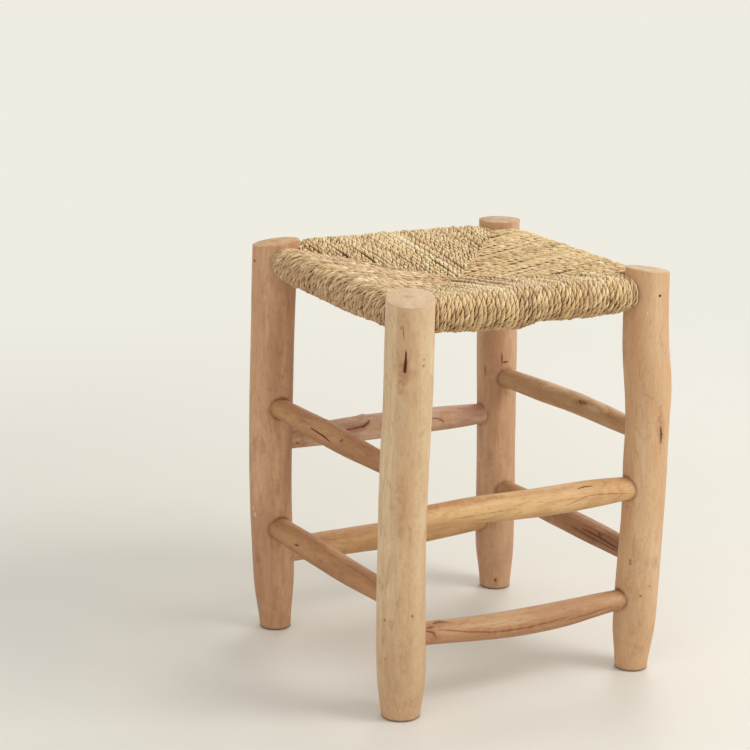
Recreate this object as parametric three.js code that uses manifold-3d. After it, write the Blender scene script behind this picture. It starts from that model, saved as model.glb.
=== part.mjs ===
// A low stool of peeled round poles: four legs, eight rungs, four seat rails under a seat of
// twisted palm-leaf cord, and a nail through one joint of each rail.
// Millimetres, +Z up. +X runs from the front leg to the right leg, +Y from the front leg to the
// left leg. The origin is on the floor, in the middle of the stool's box.

import * as THREE from 'three';
import { mergeVertices } from 'three/addons/utils/BufferGeometryUtils.js';
import Module from 'manifold-3d';

const wasm = await Module();
wasm.setup();

// Driving dimensions

const LEG_SPACING = 293;        // between neighbouring leg centres, both ways
const LEG_HEIGHT = 450;         // floor to the middle of a sawn top
const LEG_RADIUS = { front: 25.3, right: 24, left: 24.4, back: 23.2 };
const LEG_TOP_EDGE = 1.4;       // worn edge round a sawn top

const RUNG_RADIUS = 15.8;       // the thickest rung at its thickest place
const RUNG_PAST_AXIS = 6;       // how far a rung's tenon runs past its leg's middle
const SHOULDER_GAP = 2;         // a tenon stays round this far outside its leg

const RAIL_DROP = 20;           // from the legs' height down to a rail's middle line
const RAIL_RADIUS = 13.7;       // hidden poles under the cord
const RAIL_TENON_RADIUS = 9.6;
const RAIL_TAPER = 12;          // length of the whittled taper next to a tenon
const RAIL_PAST_AXIS = 8;       // how far a long tenon runs past its leg's middle
const RAIL_TENON_WALL = 1.5;    // wood left between the two rail tenons in one leg

const CORD_DIAMETER = 5.2;
const CORD_GROOVE = 1.5;        // depth of the valley between two cords
const CORDS_PER_SIDE = 48;
const CORD_END_INSET = 22;      // from a leg's middle line to the outermost cord's edge
const SEAT_CORNER_DROP = 3;     // from the legs' height down to where two fields meet at a leg
const SEAT_SINK = 20;           // from there down to the sunken middle
const SEAT_CORNER_THICKNESS = 36;
const SEAT_CENTRE_THICKNESS = 21;

const NAIL_RADIUS = 1;
const NAIL_HEAD_RADIUS = 1.5;
const NAIL_HEAD_HEIGHT = 1;
const NAIL_POINT = 4;           // length of the tapered point
const NAIL_TIP_RADIUS = 0.3;
const NAIL_PAST_TENON = 7.5;    // how far a nail runs past its tenon's axis

const CLEARANCE = 0.3;          // between touching pieces
const OVERRUN = 8;              // how far a cut runs past the surface that it opens

const LEG_SIDES = 20;
const POLE_SIDES = 12;
const NAIL_SIDES = 8;

const HALF = LEG_SPACING / 2;
const UP = new THREE.Vector3(0, 0, 1);

// Legs: at each station, a share of LEG_HEIGHT, the pole's girth and its sideways sway are
// shares of the leg's radius. All the poles sway along one line across the stool.

const SWAY = new THREE.Vector3(0.872, -0.49, 0);
const legStationShares = [0, 0.012, 0.06, 0.1, 0.16, 0.28, 0.4, 0.52, 0.64, 0.76, 0.88, 1];

const legs = {
  front: {
    corner: [-1, -1],
    topSlopeShares: [0.095, 0.17],
    girthShares: [0.79, 0.88, 0.96, 1.02, 1.02, 1.02, 0.99, 0.99, 1, 1.01, 1, 1],
    swayShares: [-0.06, -0.06, -0.055, -0.05, -0.09, -0.115, -0.11, -0.1, -0.04, 0.067, 0.075, 0.095],
  },
  right: {
    corner: [1, -1],
    topSlopeShares: [-0.16, -0.02],
    girthShares: [0.72, 0.775, 0.85, 0.965, 0.98, 0.99, 0.955, 0.985, 1.015, 1.075, 1.01, 0.98],
    swayShares: [-0.05, -0.045, -0.01, 0.01, 0.05, 0.13, 0.225, 0.235, 0.215, 0.085, -0.02, -0.01],
  },
  left: {
    corner: [-1, 1],
    topSlopeShares: [0.13, -0.11],
    girthShares: [0.7, 0.78, 0.81, 0.915, 0.975, 0.975, 0.98, 0.995, 1.01, 1, 1.005, 1.025],
    swayShares: [-0.01, -0.015, -0.055, -0.075, -0.095, -0.205, -0.25, -0.24, -0.195, -0.145, -0.105, -0.03],
  },
  back: {
    corner: [1, 1],
    topSlopeShares: [-0.02, -0.03],
    girthShares: [0.755, 0.8, 0.87, 0.985, 1, 1, 0.975, 0.995, 1.02, 1.025, 1.015, 1.005],
    swayShares: [0.135, 0.135, 0.135, 0.085, 0.065, 0.06, 0.02, -0.015, -0.06, -0.08, -0.08, -0.08],
  },
};

// Each side of the stool runs from one leg to the next.

const sides = {
  front: { from: 'front', to: 'right', along: new THREE.Vector3(1, 0, 0), outward: new THREE.Vector3(0, -1, 0) },
  left: { from: 'front', to: 'left', along: new THREE.Vector3(0, 1, 0), outward: new THREE.Vector3(-1, 0, 0) },
  back: { from: 'left', to: 'back', along: new THREE.Vector3(1, 0, 0), outward: new THREE.Vector3(0, 1, 0) },
  right: { from: 'right', to: 'back', along: new THREE.Vector3(0, 1, 0), outward: new THREE.Vector3(1, 0, 0) },
};

// Rungs: the height of each end as a share of LEG_HEIGHT, the thickness as a share of
// RUNG_RADIUS, and along the clear span the girth and the upward bow as shares of the rung's
// own radius.

const rungStationShares = [0, 0.12, 0.3, 0.5, 0.7, 0.88, 1];

const rungs = [
  {
    name: 'rung_front_upper', side: 'front', heightShares: [0.4789, 0.4651], thicknessShare: 1,
    girthShares: [0.715, 0.79, 0.905, 0.975, 1, 0.925, 0.785],
    bowShares: [0, 0.02, 0, -0.14, -0.1, -0.01, 0],
  },
  {
    name: 'rung_front_lower', side: 'front', heightShares: [0.1933, 0.1816], thicknessShare: 0.911,
    girthShares: [0.85, 0.9, 0.965, 1, 0.985, 0.875, 0.8],
    bowShares: [0, -0.16, -0.4, -0.48, -0.41, -0.15, 0],
  },
  {
    name: 'rung_left_upper', side: 'left', heightShares: [0.5884, 0.5898], thicknessShare: 0.861,
    girthShares: [0.77, 0.81, 0.92, 1, 0.955, 0.89, 0.84],
    bowShares: [0, -0.01, -0.08, 0, -0.04, 0, 0],
  },
  {
    name: 'rung_left_lower', side: 'left', heightShares: [0.2769, 0.2747], thicknessShare: 0.924,
    girthShares: [0.82, 0.865, 0.945, 0.98, 1, 0.93, 0.87],
    bowShares: [0, 0, -0.09, -0.08, -0.06, -0.02, 0],
  },
  {
    name: 'rung_back_upper', side: 'back', heightShares: [0.4924, 0.4844], thicknessShare: 0.949,
    girthShares: [0.8, 0.87, 0.955, 1, 0.965, 0.895, 0.785],
    bowShares: [0, 0.02, 0.07, 0.06, 0.05, -0.01, 0],
  },
  {
    name: 'rung_back_lower', side: 'back', heightShares: [0.1978, 0.1938], thicknessShare: 1,
    girthShares: [0.88, 0.92, 0.96, 1, 0.96, 0.885, 0.82],
    bowShares: [0, -0.03, -0.08, -0.14, -0.16, -0.07, 0],
  },
  {
    name: 'rung_right_upper', side: 'right', heightShares: [0.5973, 0.588], thicknessShare: 0.791,
    girthShares: [0.8, 0.905, 0.95, 0.975, 1, 0.93, 0.865],
    bowShares: [0, 0.08, 0.19, 0.22, 0.1, 0.02, 0],
  },
  {
    name: 'rung_right_lower', side: 'right', heightShares: [0.2876, 0.2807], thicknessShare: 0.867,
    girthShares: [0.89, 0.955, 1, 0.97, 0.92, 0.87, 0.82],
    bowShares: [0, 0.02, 0.06, 0.07, 0.05, 0.02, 0],
  },
];

// Rails: the drop of each end as a share of RAIL_DROP. Where two rails meet in a leg, one tenon
// runs past the leg's middle and the other stops short of it. A reach is counted from the leg's
// middle, away from the rail.

const RAIL_STOPS_SHORT = -(RAIL_TENON_RADIUS + CLEARANCE + RAIL_TENON_WALL + CLEARANCE);

const rails = [
  {
    name: 'rail_front', side: 'front', dropShares: [1, 1.2],
    startReach: RAIL_PAST_AXIS, endReach: RAIL_PAST_AXIS,
  },
  {
    name: 'rail_left', side: 'left', dropShares: [1, 0.9],
    startReach: RAIL_STOPS_SHORT, endReach: RAIL_PAST_AXIS,
  },
  {
    name: 'rail_back', side: 'back', dropShares: [0.9, 1.2],
    startReach: RAIL_STOPS_SHORT, endReach: RAIL_PAST_AXIS,
  },
  {
    name: 'rail_right', side: 'right', dropShares: [1.2, 1.2],
    startReach: RAIL_STOPS_SHORT, endReach: RAIL_STOPS_SHORT,
  },
];

// Finishes

function finish(color, roughness, metalness = 0) {
  return new THREE.MeshStandardMaterial({ color, roughness, metalness });
}

const legWood = finish(0xc69c74, 0.62);
const rungWood = finish(0xcfa06c, 0.6);
const railWood = finish(0xb98f67, 0.7);
const palmCord = finish(0xc9ad78, 0.85);
const nailSteel = finish(0x4a4038, 0.5, 0.8);

// Solids

function surface(points, index) {
  const geometry = new THREE.BufferGeometry().setFromPoints(points);
  geometry.setIndex(index);
  return geometry;
}

function circle(centre, radius, across, over, count) {
  return Array.from({ length: count }, (_, i) => {
    const angle = (2 * Math.PI * i) / count;
    return centre.clone()
      .addScaledVector(across, radius * Math.cos(angle))
      .addScaledVector(over, radius * Math.sin(angle));
  });
}

// A closed skin over rings of points, which turn anticlockwise as seen from the last ring.
function loft(rings) {
  const count = rings[0].length;
  const last = (rings.length - 1) * count;
  const index = [];
  for (let start = 0; start < last; start += count) {
    for (let i = 0; i < count; i++) {
      const a = start + i;
      const b = start + ((i + 1) % count);
      index.push(a, b, b + count, a, b + count, a + count);
    }
  }
  for (let i = 1; i + 1 < count; i++) {
    index.push(0, i + 1, i, last, last + i, last + i + 1);
  }
  return surface(rings.flat(), index);
}

// A round pole along the line from start to end. A station is a distance from start, a radius
// and, where the pole bows, its height over that line.
function pole(start, end, stations, count, extra = 0) {
  const line = end.clone().sub(start).normalize();
  const across = UP.clone().cross(line).normalize();
  const over = line.clone().cross(across);
  return loft(stations.map(({ distance, radius, bow = 0 }) => {
    const centre = start.clone().addScaledVector(line, distance).addScaledVector(UP, bow);
    return circle(centre, radius + extra, across, over, count);
  }));
}

function toSolid(geometry) {
  const merged = mergeVertices(geometry);
  return new wasm.Manifold(new wasm.Mesh({
    numProp: 3,
    vertProperties: new Float32Array(merged.attributes.position.array),
    triVerts: new Uint32Array(merged.index.array),
  }));
}

function cut(geometry, tools) {
  const mesh = tools.reduce((solid, tool) => solid.subtract(toSolid(tool)), toSolid(geometry)).getMesh();
  const result = new THREE.BufferGeometry();
  result.setAttribute('position', new THREE.BufferAttribute(mesh.vertProperties, mesh.numProp));
  result.setIndex(new THREE.BufferAttribute(mesh.triVerts, 1));
  return result;
}

// The value at any place along a table of shares.
function shareAt(stationShares, valueShares, place) {
  const next = Math.max(1, stationShares.findIndex((share) => share >= place));
  const span = stationShares[next] - stationShares[next - 1];
  const part = (place - stationShares[next - 1]) / span;
  return THREE.MathUtils.lerp(valueShares[next - 1], valueShares[next], part);
}

// Legs

function legShareAt(legName, shares, height) {
  return shareAt(legStationShares, legs[legName][shares], Math.min(height / LEG_HEIGHT, 1));
}

function legCentre(legName, height) {
  const [x, y] = legs[legName].corner;
  const sway = LEG_RADIUS[legName] * legShareAt(legName, 'swayShares', height);
  return new THREE.Vector3(x * HALF, y * HALF, height).addScaledVector(SWAY, sway);
}

function legRadiusAt(legName, height) {
  return LEG_RADIUS[legName] * legShareAt(legName, 'girthShares', height);
}

function legRing(legName, height, extra) {
  const across = new THREE.Vector3(1, 0, 0);
  const over = new THREE.Vector3(0, 1, 0);
  return circle(legCentre(legName, height), legRadiusAt(legName, height) + extra, across, over, LEG_SIDES);
}

function legBlank(legName) {
  const rings = legStationShares.slice(0, -1).map((share) => legRing(legName, share * LEG_HEIGHT, 0));
  const rim = legRing(legName, LEG_HEIGHT - LEG_TOP_EDGE, 0);
  const top = legRing(legName, LEG_HEIGHT, -LEG_TOP_EDGE);
  const middle = legCentre(legName, LEG_HEIGHT);
  const [slopeX, slopeY] = legs[legName].topSlopeShares;
  for (const point of [...rim, ...top]) {
    point.z += slopeX * (point.x - middle.x) + slopeY * (point.y - middle.y);
  }
  return loft([...rings, rim, top]);
}

// The leg's room in the seat: its shape with the clearance, from under the seat to above it.
function legRoom(legName) {
  const heights = legStationShares.slice(-3).map((share) => share * LEG_HEIGHT);
  return loft([...heights, LEG_HEIGHT + OVERRUN].map((height) => legRing(legName, height, CLEARANCE)));
}

// Rungs and rails: where one starts and ends, and the places of its shoulders

function endHeights({ heightShares, dropShares }) {
  return heightShares
    ? heightShares.map((share) => share * LEG_HEIGHT)
    : dropShares.map((share) => LEG_HEIGHT - share * RAIL_DROP);
}

function span(piece) {
  const { from, to } = sides[piece.side];
  const [startHeight, endHeight] = endHeights(piece);
  const start = legCentre(from, startHeight);
  const end = legCentre(to, endHeight);
  const length = start.distanceTo(end);
  const first = legRadiusAt(from, startHeight) + SHOULDER_GAP;
  const last = length - legRadiusAt(to, endHeight) - SHOULDER_GAP;
  return { from, to, start, end, length, first, last };
}

function rungStations(rung) {
  const { length, first, last } = span(rung);
  const thickest = rung.thicknessShare * RUNG_RADIUS;
  const body = rungStationShares.map((share, i) => ({
    distance: THREE.MathUtils.lerp(first, last, share),
    radius: thickest * rung.girthShares[i],
    bow: thickest * rung.bowShares[i],
  }));
  return [
    { distance: -RUNG_PAST_AXIS, radius: body[0].radius },
    ...body,
    { distance: length + RUNG_PAST_AXIS, radius: body.at(-1).radius },
  ];
}

function railStations(rail) {
  const { length, first, last } = span(rail);
  return [
    { distance: -rail.startReach, radius: RAIL_TENON_RADIUS },
    { distance: first, radius: RAIL_TENON_RADIUS },
    { distance: first + RAIL_TAPER, radius: RAIL_RADIUS },
    { distance: last - RAIL_TAPER, radius: RAIL_RADIUS },
    { distance: last, radius: RAIL_TENON_RADIUS },
    { distance: length + rail.endReach, radius: RAIL_TENON_RADIUS },
  ];
}

// The two mortises for a pole's tenons, each from its blind end to outside the leg.
function mortises(piece, stations) {
  const { from, to, start, end } = span(piece);
  const tenonEnds = [stations[0], stations.at(-1)];
  const shoulders = [stations[1], stations.at(-2)];
  return [from, to].map((legName, i) => {
    const away = i === 0 ? -1 : 1;
    const bore = [
      { distance: tenonEnds[i].distance + away * CLEARANCE, radius: tenonEnds[i].radius },
      { distance: shoulders[i].distance - away * OVERRUN, radius: tenonEnds[i].radius },
    ];
    const inOrder = i === 0 ? bore : bore.reverse();
    return { legName, tool: pole(start, end, inOrder, POLE_SIDES, CLEARANCE) };
  });
}

// Nails: one through the joint at each rail's far end, its head sunk level with the leg's outer
// face. Through a short tenon it goes in half way along the part that the leg holds.

function nailSpot(rail) {
  const { to, start, end, length } = span(rail);
  const girth = legRadiusAt(to, end.z);
  const inset = rail.endReach > 0 ? 0 : (girth - rail.endReach) / 2;
  const onAxis = start.clone().lerp(end, (length - inset) / length);
  return { onAxis, face: Math.sqrt(girth ** 2 - (inset + NAIL_HEAD_RADIUS) ** 2), legName: to };
}

function nailLoft(rail, steps) {
  const { onAxis } = nailSpot(rail);
  const { along, outward } = sides[rail.side];
  const over = outward.clone().negate().cross(along);
  return loft(steps.map(({ depth, radius }) => (
    circle(onAxis.clone().addScaledVector(outward, depth), radius, along, over, NAIL_SIDES)
  )));
}

function nailBody(rail) {
  const { face } = nailSpot(rail);
  return nailLoft(rail, [
    { depth: face, radius: NAIL_HEAD_RADIUS },
    { depth: face - NAIL_HEAD_HEIGHT, radius: NAIL_HEAD_RADIUS },
    { depth: face - NAIL_HEAD_HEIGHT, radius: NAIL_RADIUS },
    { depth: NAIL_POINT - NAIL_PAST_TENON, radius: NAIL_RADIUS },
    { depth: -NAIL_PAST_TENON, radius: NAIL_TIP_RADIUS },
  ]);
}

function nailRoom(rail) {
  const { face } = nailSpot(rail);
  return nailLoft(rail, [
    { depth: face + OVERRUN, radius: NAIL_HEAD_RADIUS + CLEARANCE },
    { depth: face - NAIL_HEAD_HEIGHT - CLEARANCE, radius: NAIL_HEAD_RADIUS + CLEARANCE },
    { depth: face - NAIL_HEAD_HEIGHT - CLEARANCE, radius: NAIL_RADIUS + CLEARANCE },
    { depth: -NAIL_PAST_TENON - CLEARANCE, radius: NAIL_RADIUS + CLEARANCE },
  ]);
}

// Seat: the cord runs over each rail side by side, square to it, and the four fields of cords
// meet on the diagonals, top and bottom. Every cord has a crest and, on each side, a valley.

const CORD_ARC_START = THREE.MathUtils.degToRad(100);
const CORD_ARC_END = THREE.MathUtils.degToRad(-95);
const CORD_ARC_STEPS = 6;

function seatColumns() {
  const reach = HALF - CORD_END_INSET;
  const count = 2 * CORDS_PER_SIDE;
  return Array.from({ length: count + 1 }, (_, i) => ({
    place: THREE.MathUtils.lerp(-reach, reach, i / count),
    valley: i % 2 === 0 ? CORD_GROOVE : 0,
  }));
}

// One cord line from the diagonal on top, round the rail, to the diagonal underneath.
function seatLine(rail, { place, valley }) {
  const { start, end } = span(rail);
  const { along, outward } = sides[rail.side];
  const share = Math.abs(place) / HALF;
  const diagonal = new THREE.Vector3()
    .addScaledVector(along, place)
    .addScaledVector(outward, Math.abs(place));
  const mitre = LEG_HEIGHT - SEAT_CORNER_DROP - SEAT_SINK * (1 - share);
  const thickness = THREE.MathUtils.lerp(SEAT_CENTRE_THICKNESS, SEAT_CORNER_THICKNESS, share);
  const top = mitre - valley;
  const under = mitre - thickness + valley;
  const onRail = start.clone().lerp(end, (place + HALF) / LEG_SPACING);
  const radius = RAIL_RADIUS + CLEARANCE + CORD_DIAMETER - valley;
  const arc = Array.from({ length: CORD_ARC_STEPS + 1 }, (_, i) => {
    const angle = THREE.MathUtils.lerp(CORD_ARC_START, CORD_ARC_END, i / CORD_ARC_STEPS);
    return onRail.clone()
      .addScaledVector(outward, radius * Math.cos(angle))
      .addScaledVector(UP, radius * Math.sin(angle));
  });
  return [diagonal.clone().setZ(top), ...arc, diagonal.clone().setZ(under)];
}

function seatBlank() {
  const points = [];
  const index = [];
  for (const rail of rails) {
    const { along, outward } = sides[rail.side];
    const facesOut = along.clone().cross(outward).z < 0;
    const first = points.length;
    const lines = seatColumns().map((column) => seatLine(rail, column));
    const size = lines[0].length;
    const quarter = [];
    for (let column = 0; column + 1 < lines.length; column++) {
      for (let row = 0; row + 1 < size; row++) {
        const a = first + column * size + row;
        const b = a + size;
        quarter.push([a, a + 1, b + 1], [a, b + 1, b]);
      }
    }
    const last = first + (lines.length - 1) * size;
    for (let row = 1; row + 1 < size; row++) {
      quarter.push([first, first + row + 1, first + row], [last, last + row, last + row + 1]);
    }
    points.push(...lines.flat());
    index.push(...quarter.flatMap(([a, b, c]) => (facesOut ? [a, b, c] : [a, c, b])));
  }
  return surface(points, index);
}

// Assembly

const stool = new THREE.Group();
const legCuts = { front: [], right: [], left: [], back: [] };

function place(name, geometry, material) {
  geometry.computeVertexNormals();
  const mesh = new THREE.Mesh(geometry, material);
  mesh.name = name;
  stool.add(mesh);
}

for (const rung of rungs) {
  const { start, end } = span(rung);
  const stations = rungStations(rung);
  mortises(rung, stations).forEach(({ legName, tool }) => legCuts[legName].push(tool));
  place(rung.name, pole(start, end, stations, POLE_SIDES), rungWood);
}

for (const rail of rails) {
  const { start, end } = span(rail);
  const stations = railStations(rail);
  mortises(rail, stations).forEach(({ legName, tool }) => legCuts[legName].push(tool));
  legCuts[nailSpot(rail).legName].push(nailRoom(rail));
  place(rail.name, cut(pole(start, end, stations, POLE_SIDES), [nailRoom(rail)]), railWood);
  place(rail.name.replace('rail', 'nail'), nailBody(rail), nailSteel);
}

for (const legName of Object.keys(legs)) {
  place(`leg_${legName}`, cut(legBlank(legName), legCuts[legName]), legWood);
}

const railRooms = rails.map((rail) => {
  const { start, end } = span(rail);
  return pole(start, end, railStations(rail), POLE_SIDES, CLEARANCE);
});
const legRooms = Object.keys(legs).map(legRoom);
place('seat_cord', cut(seatBlank(), [...railRooms, ...legRooms]), palmCord);

// The poles sway, so the stool is moved until its box is centred on the origin.
const middle = new THREE.Box3().setFromObject(stool).getCenter(new THREE.Vector3());
stool.position.set(-middle.x, -middle.y, 0);

export default stool;
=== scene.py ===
"""Looks of a low stool of peeled poles with a cord seat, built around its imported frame.

The tables of the poles' forms are in millimetres and in shares of a pole's own radius, as the
object is measured. Meshes are in metres, in the frame's own axes.
"""
import logging
import math
from abc import ABC, abstractmethod
from collections.abc import Iterator
from contextlib import contextmanager
from dataclasses import dataclass, field
from enum import Enum
from functools import reduce
from typing import ClassVar

import bpy
import numpy as np
from mathutils import Matrix, Vector


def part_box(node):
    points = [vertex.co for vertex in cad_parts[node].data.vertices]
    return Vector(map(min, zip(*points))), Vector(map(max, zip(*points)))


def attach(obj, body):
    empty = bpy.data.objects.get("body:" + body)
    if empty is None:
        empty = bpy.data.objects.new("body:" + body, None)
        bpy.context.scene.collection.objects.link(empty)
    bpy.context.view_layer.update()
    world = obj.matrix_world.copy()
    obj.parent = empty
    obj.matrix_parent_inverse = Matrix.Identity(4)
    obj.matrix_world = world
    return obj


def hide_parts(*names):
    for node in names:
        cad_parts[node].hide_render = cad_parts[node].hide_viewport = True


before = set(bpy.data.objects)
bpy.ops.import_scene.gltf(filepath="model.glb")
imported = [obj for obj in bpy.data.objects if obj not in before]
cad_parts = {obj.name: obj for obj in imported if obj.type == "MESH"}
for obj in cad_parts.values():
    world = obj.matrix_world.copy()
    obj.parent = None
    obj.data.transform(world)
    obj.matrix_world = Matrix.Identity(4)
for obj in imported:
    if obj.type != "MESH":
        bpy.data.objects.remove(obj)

log = logging.getLogger("stool")

MM = 0.001
BODY = "root"
X_AXIS, Y_AXIS, Z_AXIS = Vector((1.0, 0.0, 0.0)), Vector((0.0, 1.0, 0.0)), Vector((0.0, 0.0, 1.0))
FULL_TURN = 2.0 * math.pi

Colour = tuple[float, float, float, float]
Point = tuple[float, float, float]
Bore = tuple[Vector, Vector, float]     # a cutter's two ends and its radius, mm


def srgb(red: int, green: int, blue: int) -> Colour:
    """Turns a colour as it is seen on a screen into linear light.

    Args:
        red: Red from 0 to 255.
        green: Green from 0 to 255.
        blue: Blue from 0 to 255.

    Returns:
        The linear colour with full alpha.
    """
    def linear(level: float) -> float:
        """One channel in linear light."""
        level /= 255.0
        return level / 12.92 if level <= 0.04045 else ((level + 0.055) / 1.055) ** 2.4

    return linear(red), linear(green), linear(blue), 1.0


def palette(*tones: tuple[int, int, int]) -> tuple[Colour, ...]:
    """Several colours as they are seen on a screen, in linear light."""
    return tuple(srgb(*tone) for tone in tones)


BACKDROP = srgb(239, 236, 226)


# Shader sums


class Value:
    """A shader socket that takes part in Python sums."""

    def __init__(self, graph: "Graph", socket: bpy.types.NodeSocket) -> None:
        """Keeps the socket and the graph that it belongs to."""
        self.graph = graph
        self.socket = socket

    def _math(self, operation: str, *others: "Value | float") -> "Value":
        """A Math node on this value and others."""
        inputs = dict(enumerate((self, *others)))
        return self.graph.node("ShaderNodeMath", {"operation": operation}, inputs)

    def __add__(self, other: "Value | float") -> "Value":
        """Sum."""
        return self._math("ADD", other)

    __radd__ = __add__

    def __sub__(self, other: "Value | float") -> "Value":
        """Difference."""
        return self._math("SUBTRACT", other)

    def __rsub__(self, other: float) -> "Value":
        """A number less this value."""
        return self._math("MULTIPLY", -1.0)._math("ADD", other)

    def __mul__(self, other: "Value | float") -> "Value":
        """Product."""
        return self._math("MULTIPLY", other)

    __rmul__ = __mul__

    def __truediv__(self, other: "Value | float") -> "Value":
        """Quotient."""
        return self._math("DIVIDE", other)

    def __rtruediv__(self, other: float) -> "Value":
        """A number divided by this value."""
        return self._math("POWER", -1.0)._math("MULTIPLY", other)

    def sine(self) -> "Value":
        """Sine."""
        return self._math("SINE")

    def least(self, other: "Value | float") -> "Value":
        """The smaller of two."""
        return self._math("MINIMUM", other)

    def most(self, other: "Value | float") -> "Value":
        """The larger of two."""
        return self._math("MAXIMUM", other)

    def ease(self, low: float, high: float, start: float = 0.0, end: float = 1.0) -> "Value":
        """Eases from start to end while this value goes from low to high.

        Args:
            low: The value at which the result is still start.
            high: The value at which the result has reached end.
            start: The result at and below low.
            end: The result at and above high.

        Returns:
            The eased value.
        """
        return self.graph.node(
            "ShaderNodeMapRange", {"interpolation_type": "SMOOTHSTEP"},
            {"Value": self, "From Min": low, "From Max": high, "To Min": start, "To Max": end})


Layer = tuple[Value, "Value | Colour"]      # how much of a colour is laid on, and the colour


class Graph:
    """The node tree of one finish."""

    def __init__(self, tree: bpy.types.NodeTree) -> None:
        """Starts from an empty tree."""
        self.tree = tree
        tree.nodes.clear()

    def node(self, kind: str, settings: dict | None = None, inputs: dict | None = None,
             output: int | str = 0) -> Value:
        """Adds a node, sets its settings first and then its sockets.

        Args:
            kind: The node's type.
            settings: Its properties; "stops" holds a ramp's (place, colour) pairs.
            inputs: Values or links by the socket's name or number.
            output: The socket that is handed back.

        Returns:
            The chosen output socket.
        """
        made = self.tree.nodes.new(kind)
        for key, setting in (settings or {}).items():
            if key == "stops":
                self._stops(made.color_ramp, setting)
            else:
                setattr(made, key, setting)
        for key, value in (inputs or {}).items():
            if isinstance(value, Value):
                self.tree.links.new(value.socket, made.inputs[key])
            else:
                made.inputs[key].default_value = value
        return Value(self, made.outputs[output])

    @staticmethod
    def _stops(ramp: bpy.types.ColorRamp, stops: list[tuple[float, Colour]]) -> None:
        """Gives a ramp its stops.

        Args:
            ramp: The ramp.
            stops: The places from 0 to 1, each with its colour.
        """
        while len(ramp.elements) < len(stops):
            ramp.elements.new(0.5)
        for element, (place, colour) in zip(ramp.elements, stops):
            element.position = place
            element.color = colour

    def place(self) -> Value:
        """The place on the object."""
        return self.node("ShaderNodeTexCoord", output="Object")

    def attribute(self, name: str, output: str = "Fac") -> Value:
        """An attribute of the mesh's points."""
        return self.node("ShaderNodeAttribute", {"attribute_name": name}, output=output)

    def noise(self, place: Value, scale: float, detail: float, seed: float, rough: float = 0.5,
              output: int | str = 0) -> Value:
        """A smooth random field from 0 to 1, with its middle near 0.5."""
        inputs = {"Vector": place, "W": seed, "Scale": scale, "Detail": detail, "Roughness": rough}
        return self.node("ShaderNodeTexNoise", {"noise_dimensions": "4D"}, inputs, output)

    def strokes(self, place: Value, turn: Point, scale: Point, detail: float, seed: float,
                rough: float) -> Value:
        """Noise that is turned and then drawn out into strokes."""
        inputs = {"Vector": place, "Rotation": turn, "Scale": scale}
        return self.noise(self.node("ShaderNodeMapping", {}, inputs), 1.0, detail, seed, rough)

    def joined(self, *parts: Value | float) -> Value:
        """A vector from its parts, in the order X, Y, Z."""
        return self.node("ShaderNodeCombineXYZ", {}, dict(enumerate(parts)))

    def part(self, vector: Value, axis: str) -> Value:
        """One part of a vector."""
        return self.node("ShaderNodeSeparateXYZ", {}, {0: vector}, axis)

    def vector(self, operation: str, first: Value, second: Value | Point,
               output: str = "Vector") -> Value:
        """A Vector Math node on two vectors."""
        settings = {"operation": operation}
        return self.node("ShaderNodeVectorMath", settings, {0: first, 1: second}, output)

    def dot(self, first: Value, second: Value | Point) -> Value:
        """The dot product of two vectors."""
        return self.vector("DOT_PRODUCT", first, second, "Value")

    def length(self, first: Value) -> Value:
        """A vector's length."""
        return self.node("ShaderNodeVectorMath", {"operation": "LENGTH"}, {0: first}, "Value")

    def blend(self, share: Value | float, first: Value | Colour, second: Value | Colour) -> Value:
        """Blends from one colour to another."""
        settings = {"data_type": "RGBA", "blend_type": "MIX"}
        return self.node("ShaderNodeMix", settings, {0: share, 6: first, 7: second}, 2)

    def layered(self, colour: Value | Colour, *layers: Layer) -> Value | Colour:
        """Lays colours over one another.

        Args:
            colour: The lowest colour.
            *layers: How much of each colour above it is laid on, and the colour.

        Returns:
            The colour on top.
        """
        for share, above in layers:
            colour = self.blend(share, colour, above)
        return colour

    def to_line(self, place: Value, start: Vector, end: Vector,
                widths: tuple[float, float] = (1.0, 1.0)) -> Value:
        """The distance from a place to a straight stretch, in its width there.

        Args:
            place: The place.
            start: Where the stretch begins.
            end: Where it ends.
            widths: Its widths at its two ends.

        Returns:
            The distance, divided by the width.
        """
        run = end - start
        away = self.vector("SUBTRACT", place, tuple(start))
        share = self.dot(away, tuple(run / run.length_squared)).most(0.0).least(1.0)
        nearest = self.node(
            "ShaderNodeVectorMath", {"operation": "SCALE"}, {0: tuple(run), "Scale": share})
        distance = self.length(self.vector("SUBTRACT", away, nearest))
        return distance / (share * (widths[1] - widths[0]) + widths[0])

    def bumps(self, strength: float, distance: float, height: Value) -> Value:
        """A Bump node's normal."""
        inputs = {"Strength": strength, "Distance": distance, "Height": height}
        return self.node("ShaderNodeBump", {}, inputs)

    def end(self, shader: Value, kind: str = "ShaderNodeOutputMaterial") -> None:
        """Ends the graph in a shader."""
        last = self.tree.nodes.new(kind)
        self.tree.links.new(shader.socket, last.inputs["Surface"])

    def surface(self, **inputs: Value | Colour | float) -> Value:
        """A shader with these sockets; a socket's name has its spaces as underscores."""
        named = {key.replace("_", " "): value for key, value in inputs.items()}
        return self.node("ShaderNodeBsdfPrincipled", {}, named)

    def seen_directly(self) -> Value:
        """How far a place is seen by the camera, itself or through gloss or glass.

        Returns:
            1 for what is seen, and 0 for plain light.
        """
        seen, *others = (self.node("ShaderNodeLightPath", output=f"Is {ray} Ray")
                         for ray in ("Camera", "Glossy", "Transmission"))
        return reduce(Value.most, others, seen)


def finish_of(name: str) -> tuple[bpy.types.Material, Graph]:
    """Starts a finish.

    Args:
        name: The material's name.

    Returns:
        The new material and its empty graph.
    """
    material = bpy.data.materials.new(name)
    material.use_nodes = True
    return material, Graph(material.node_tree)


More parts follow.
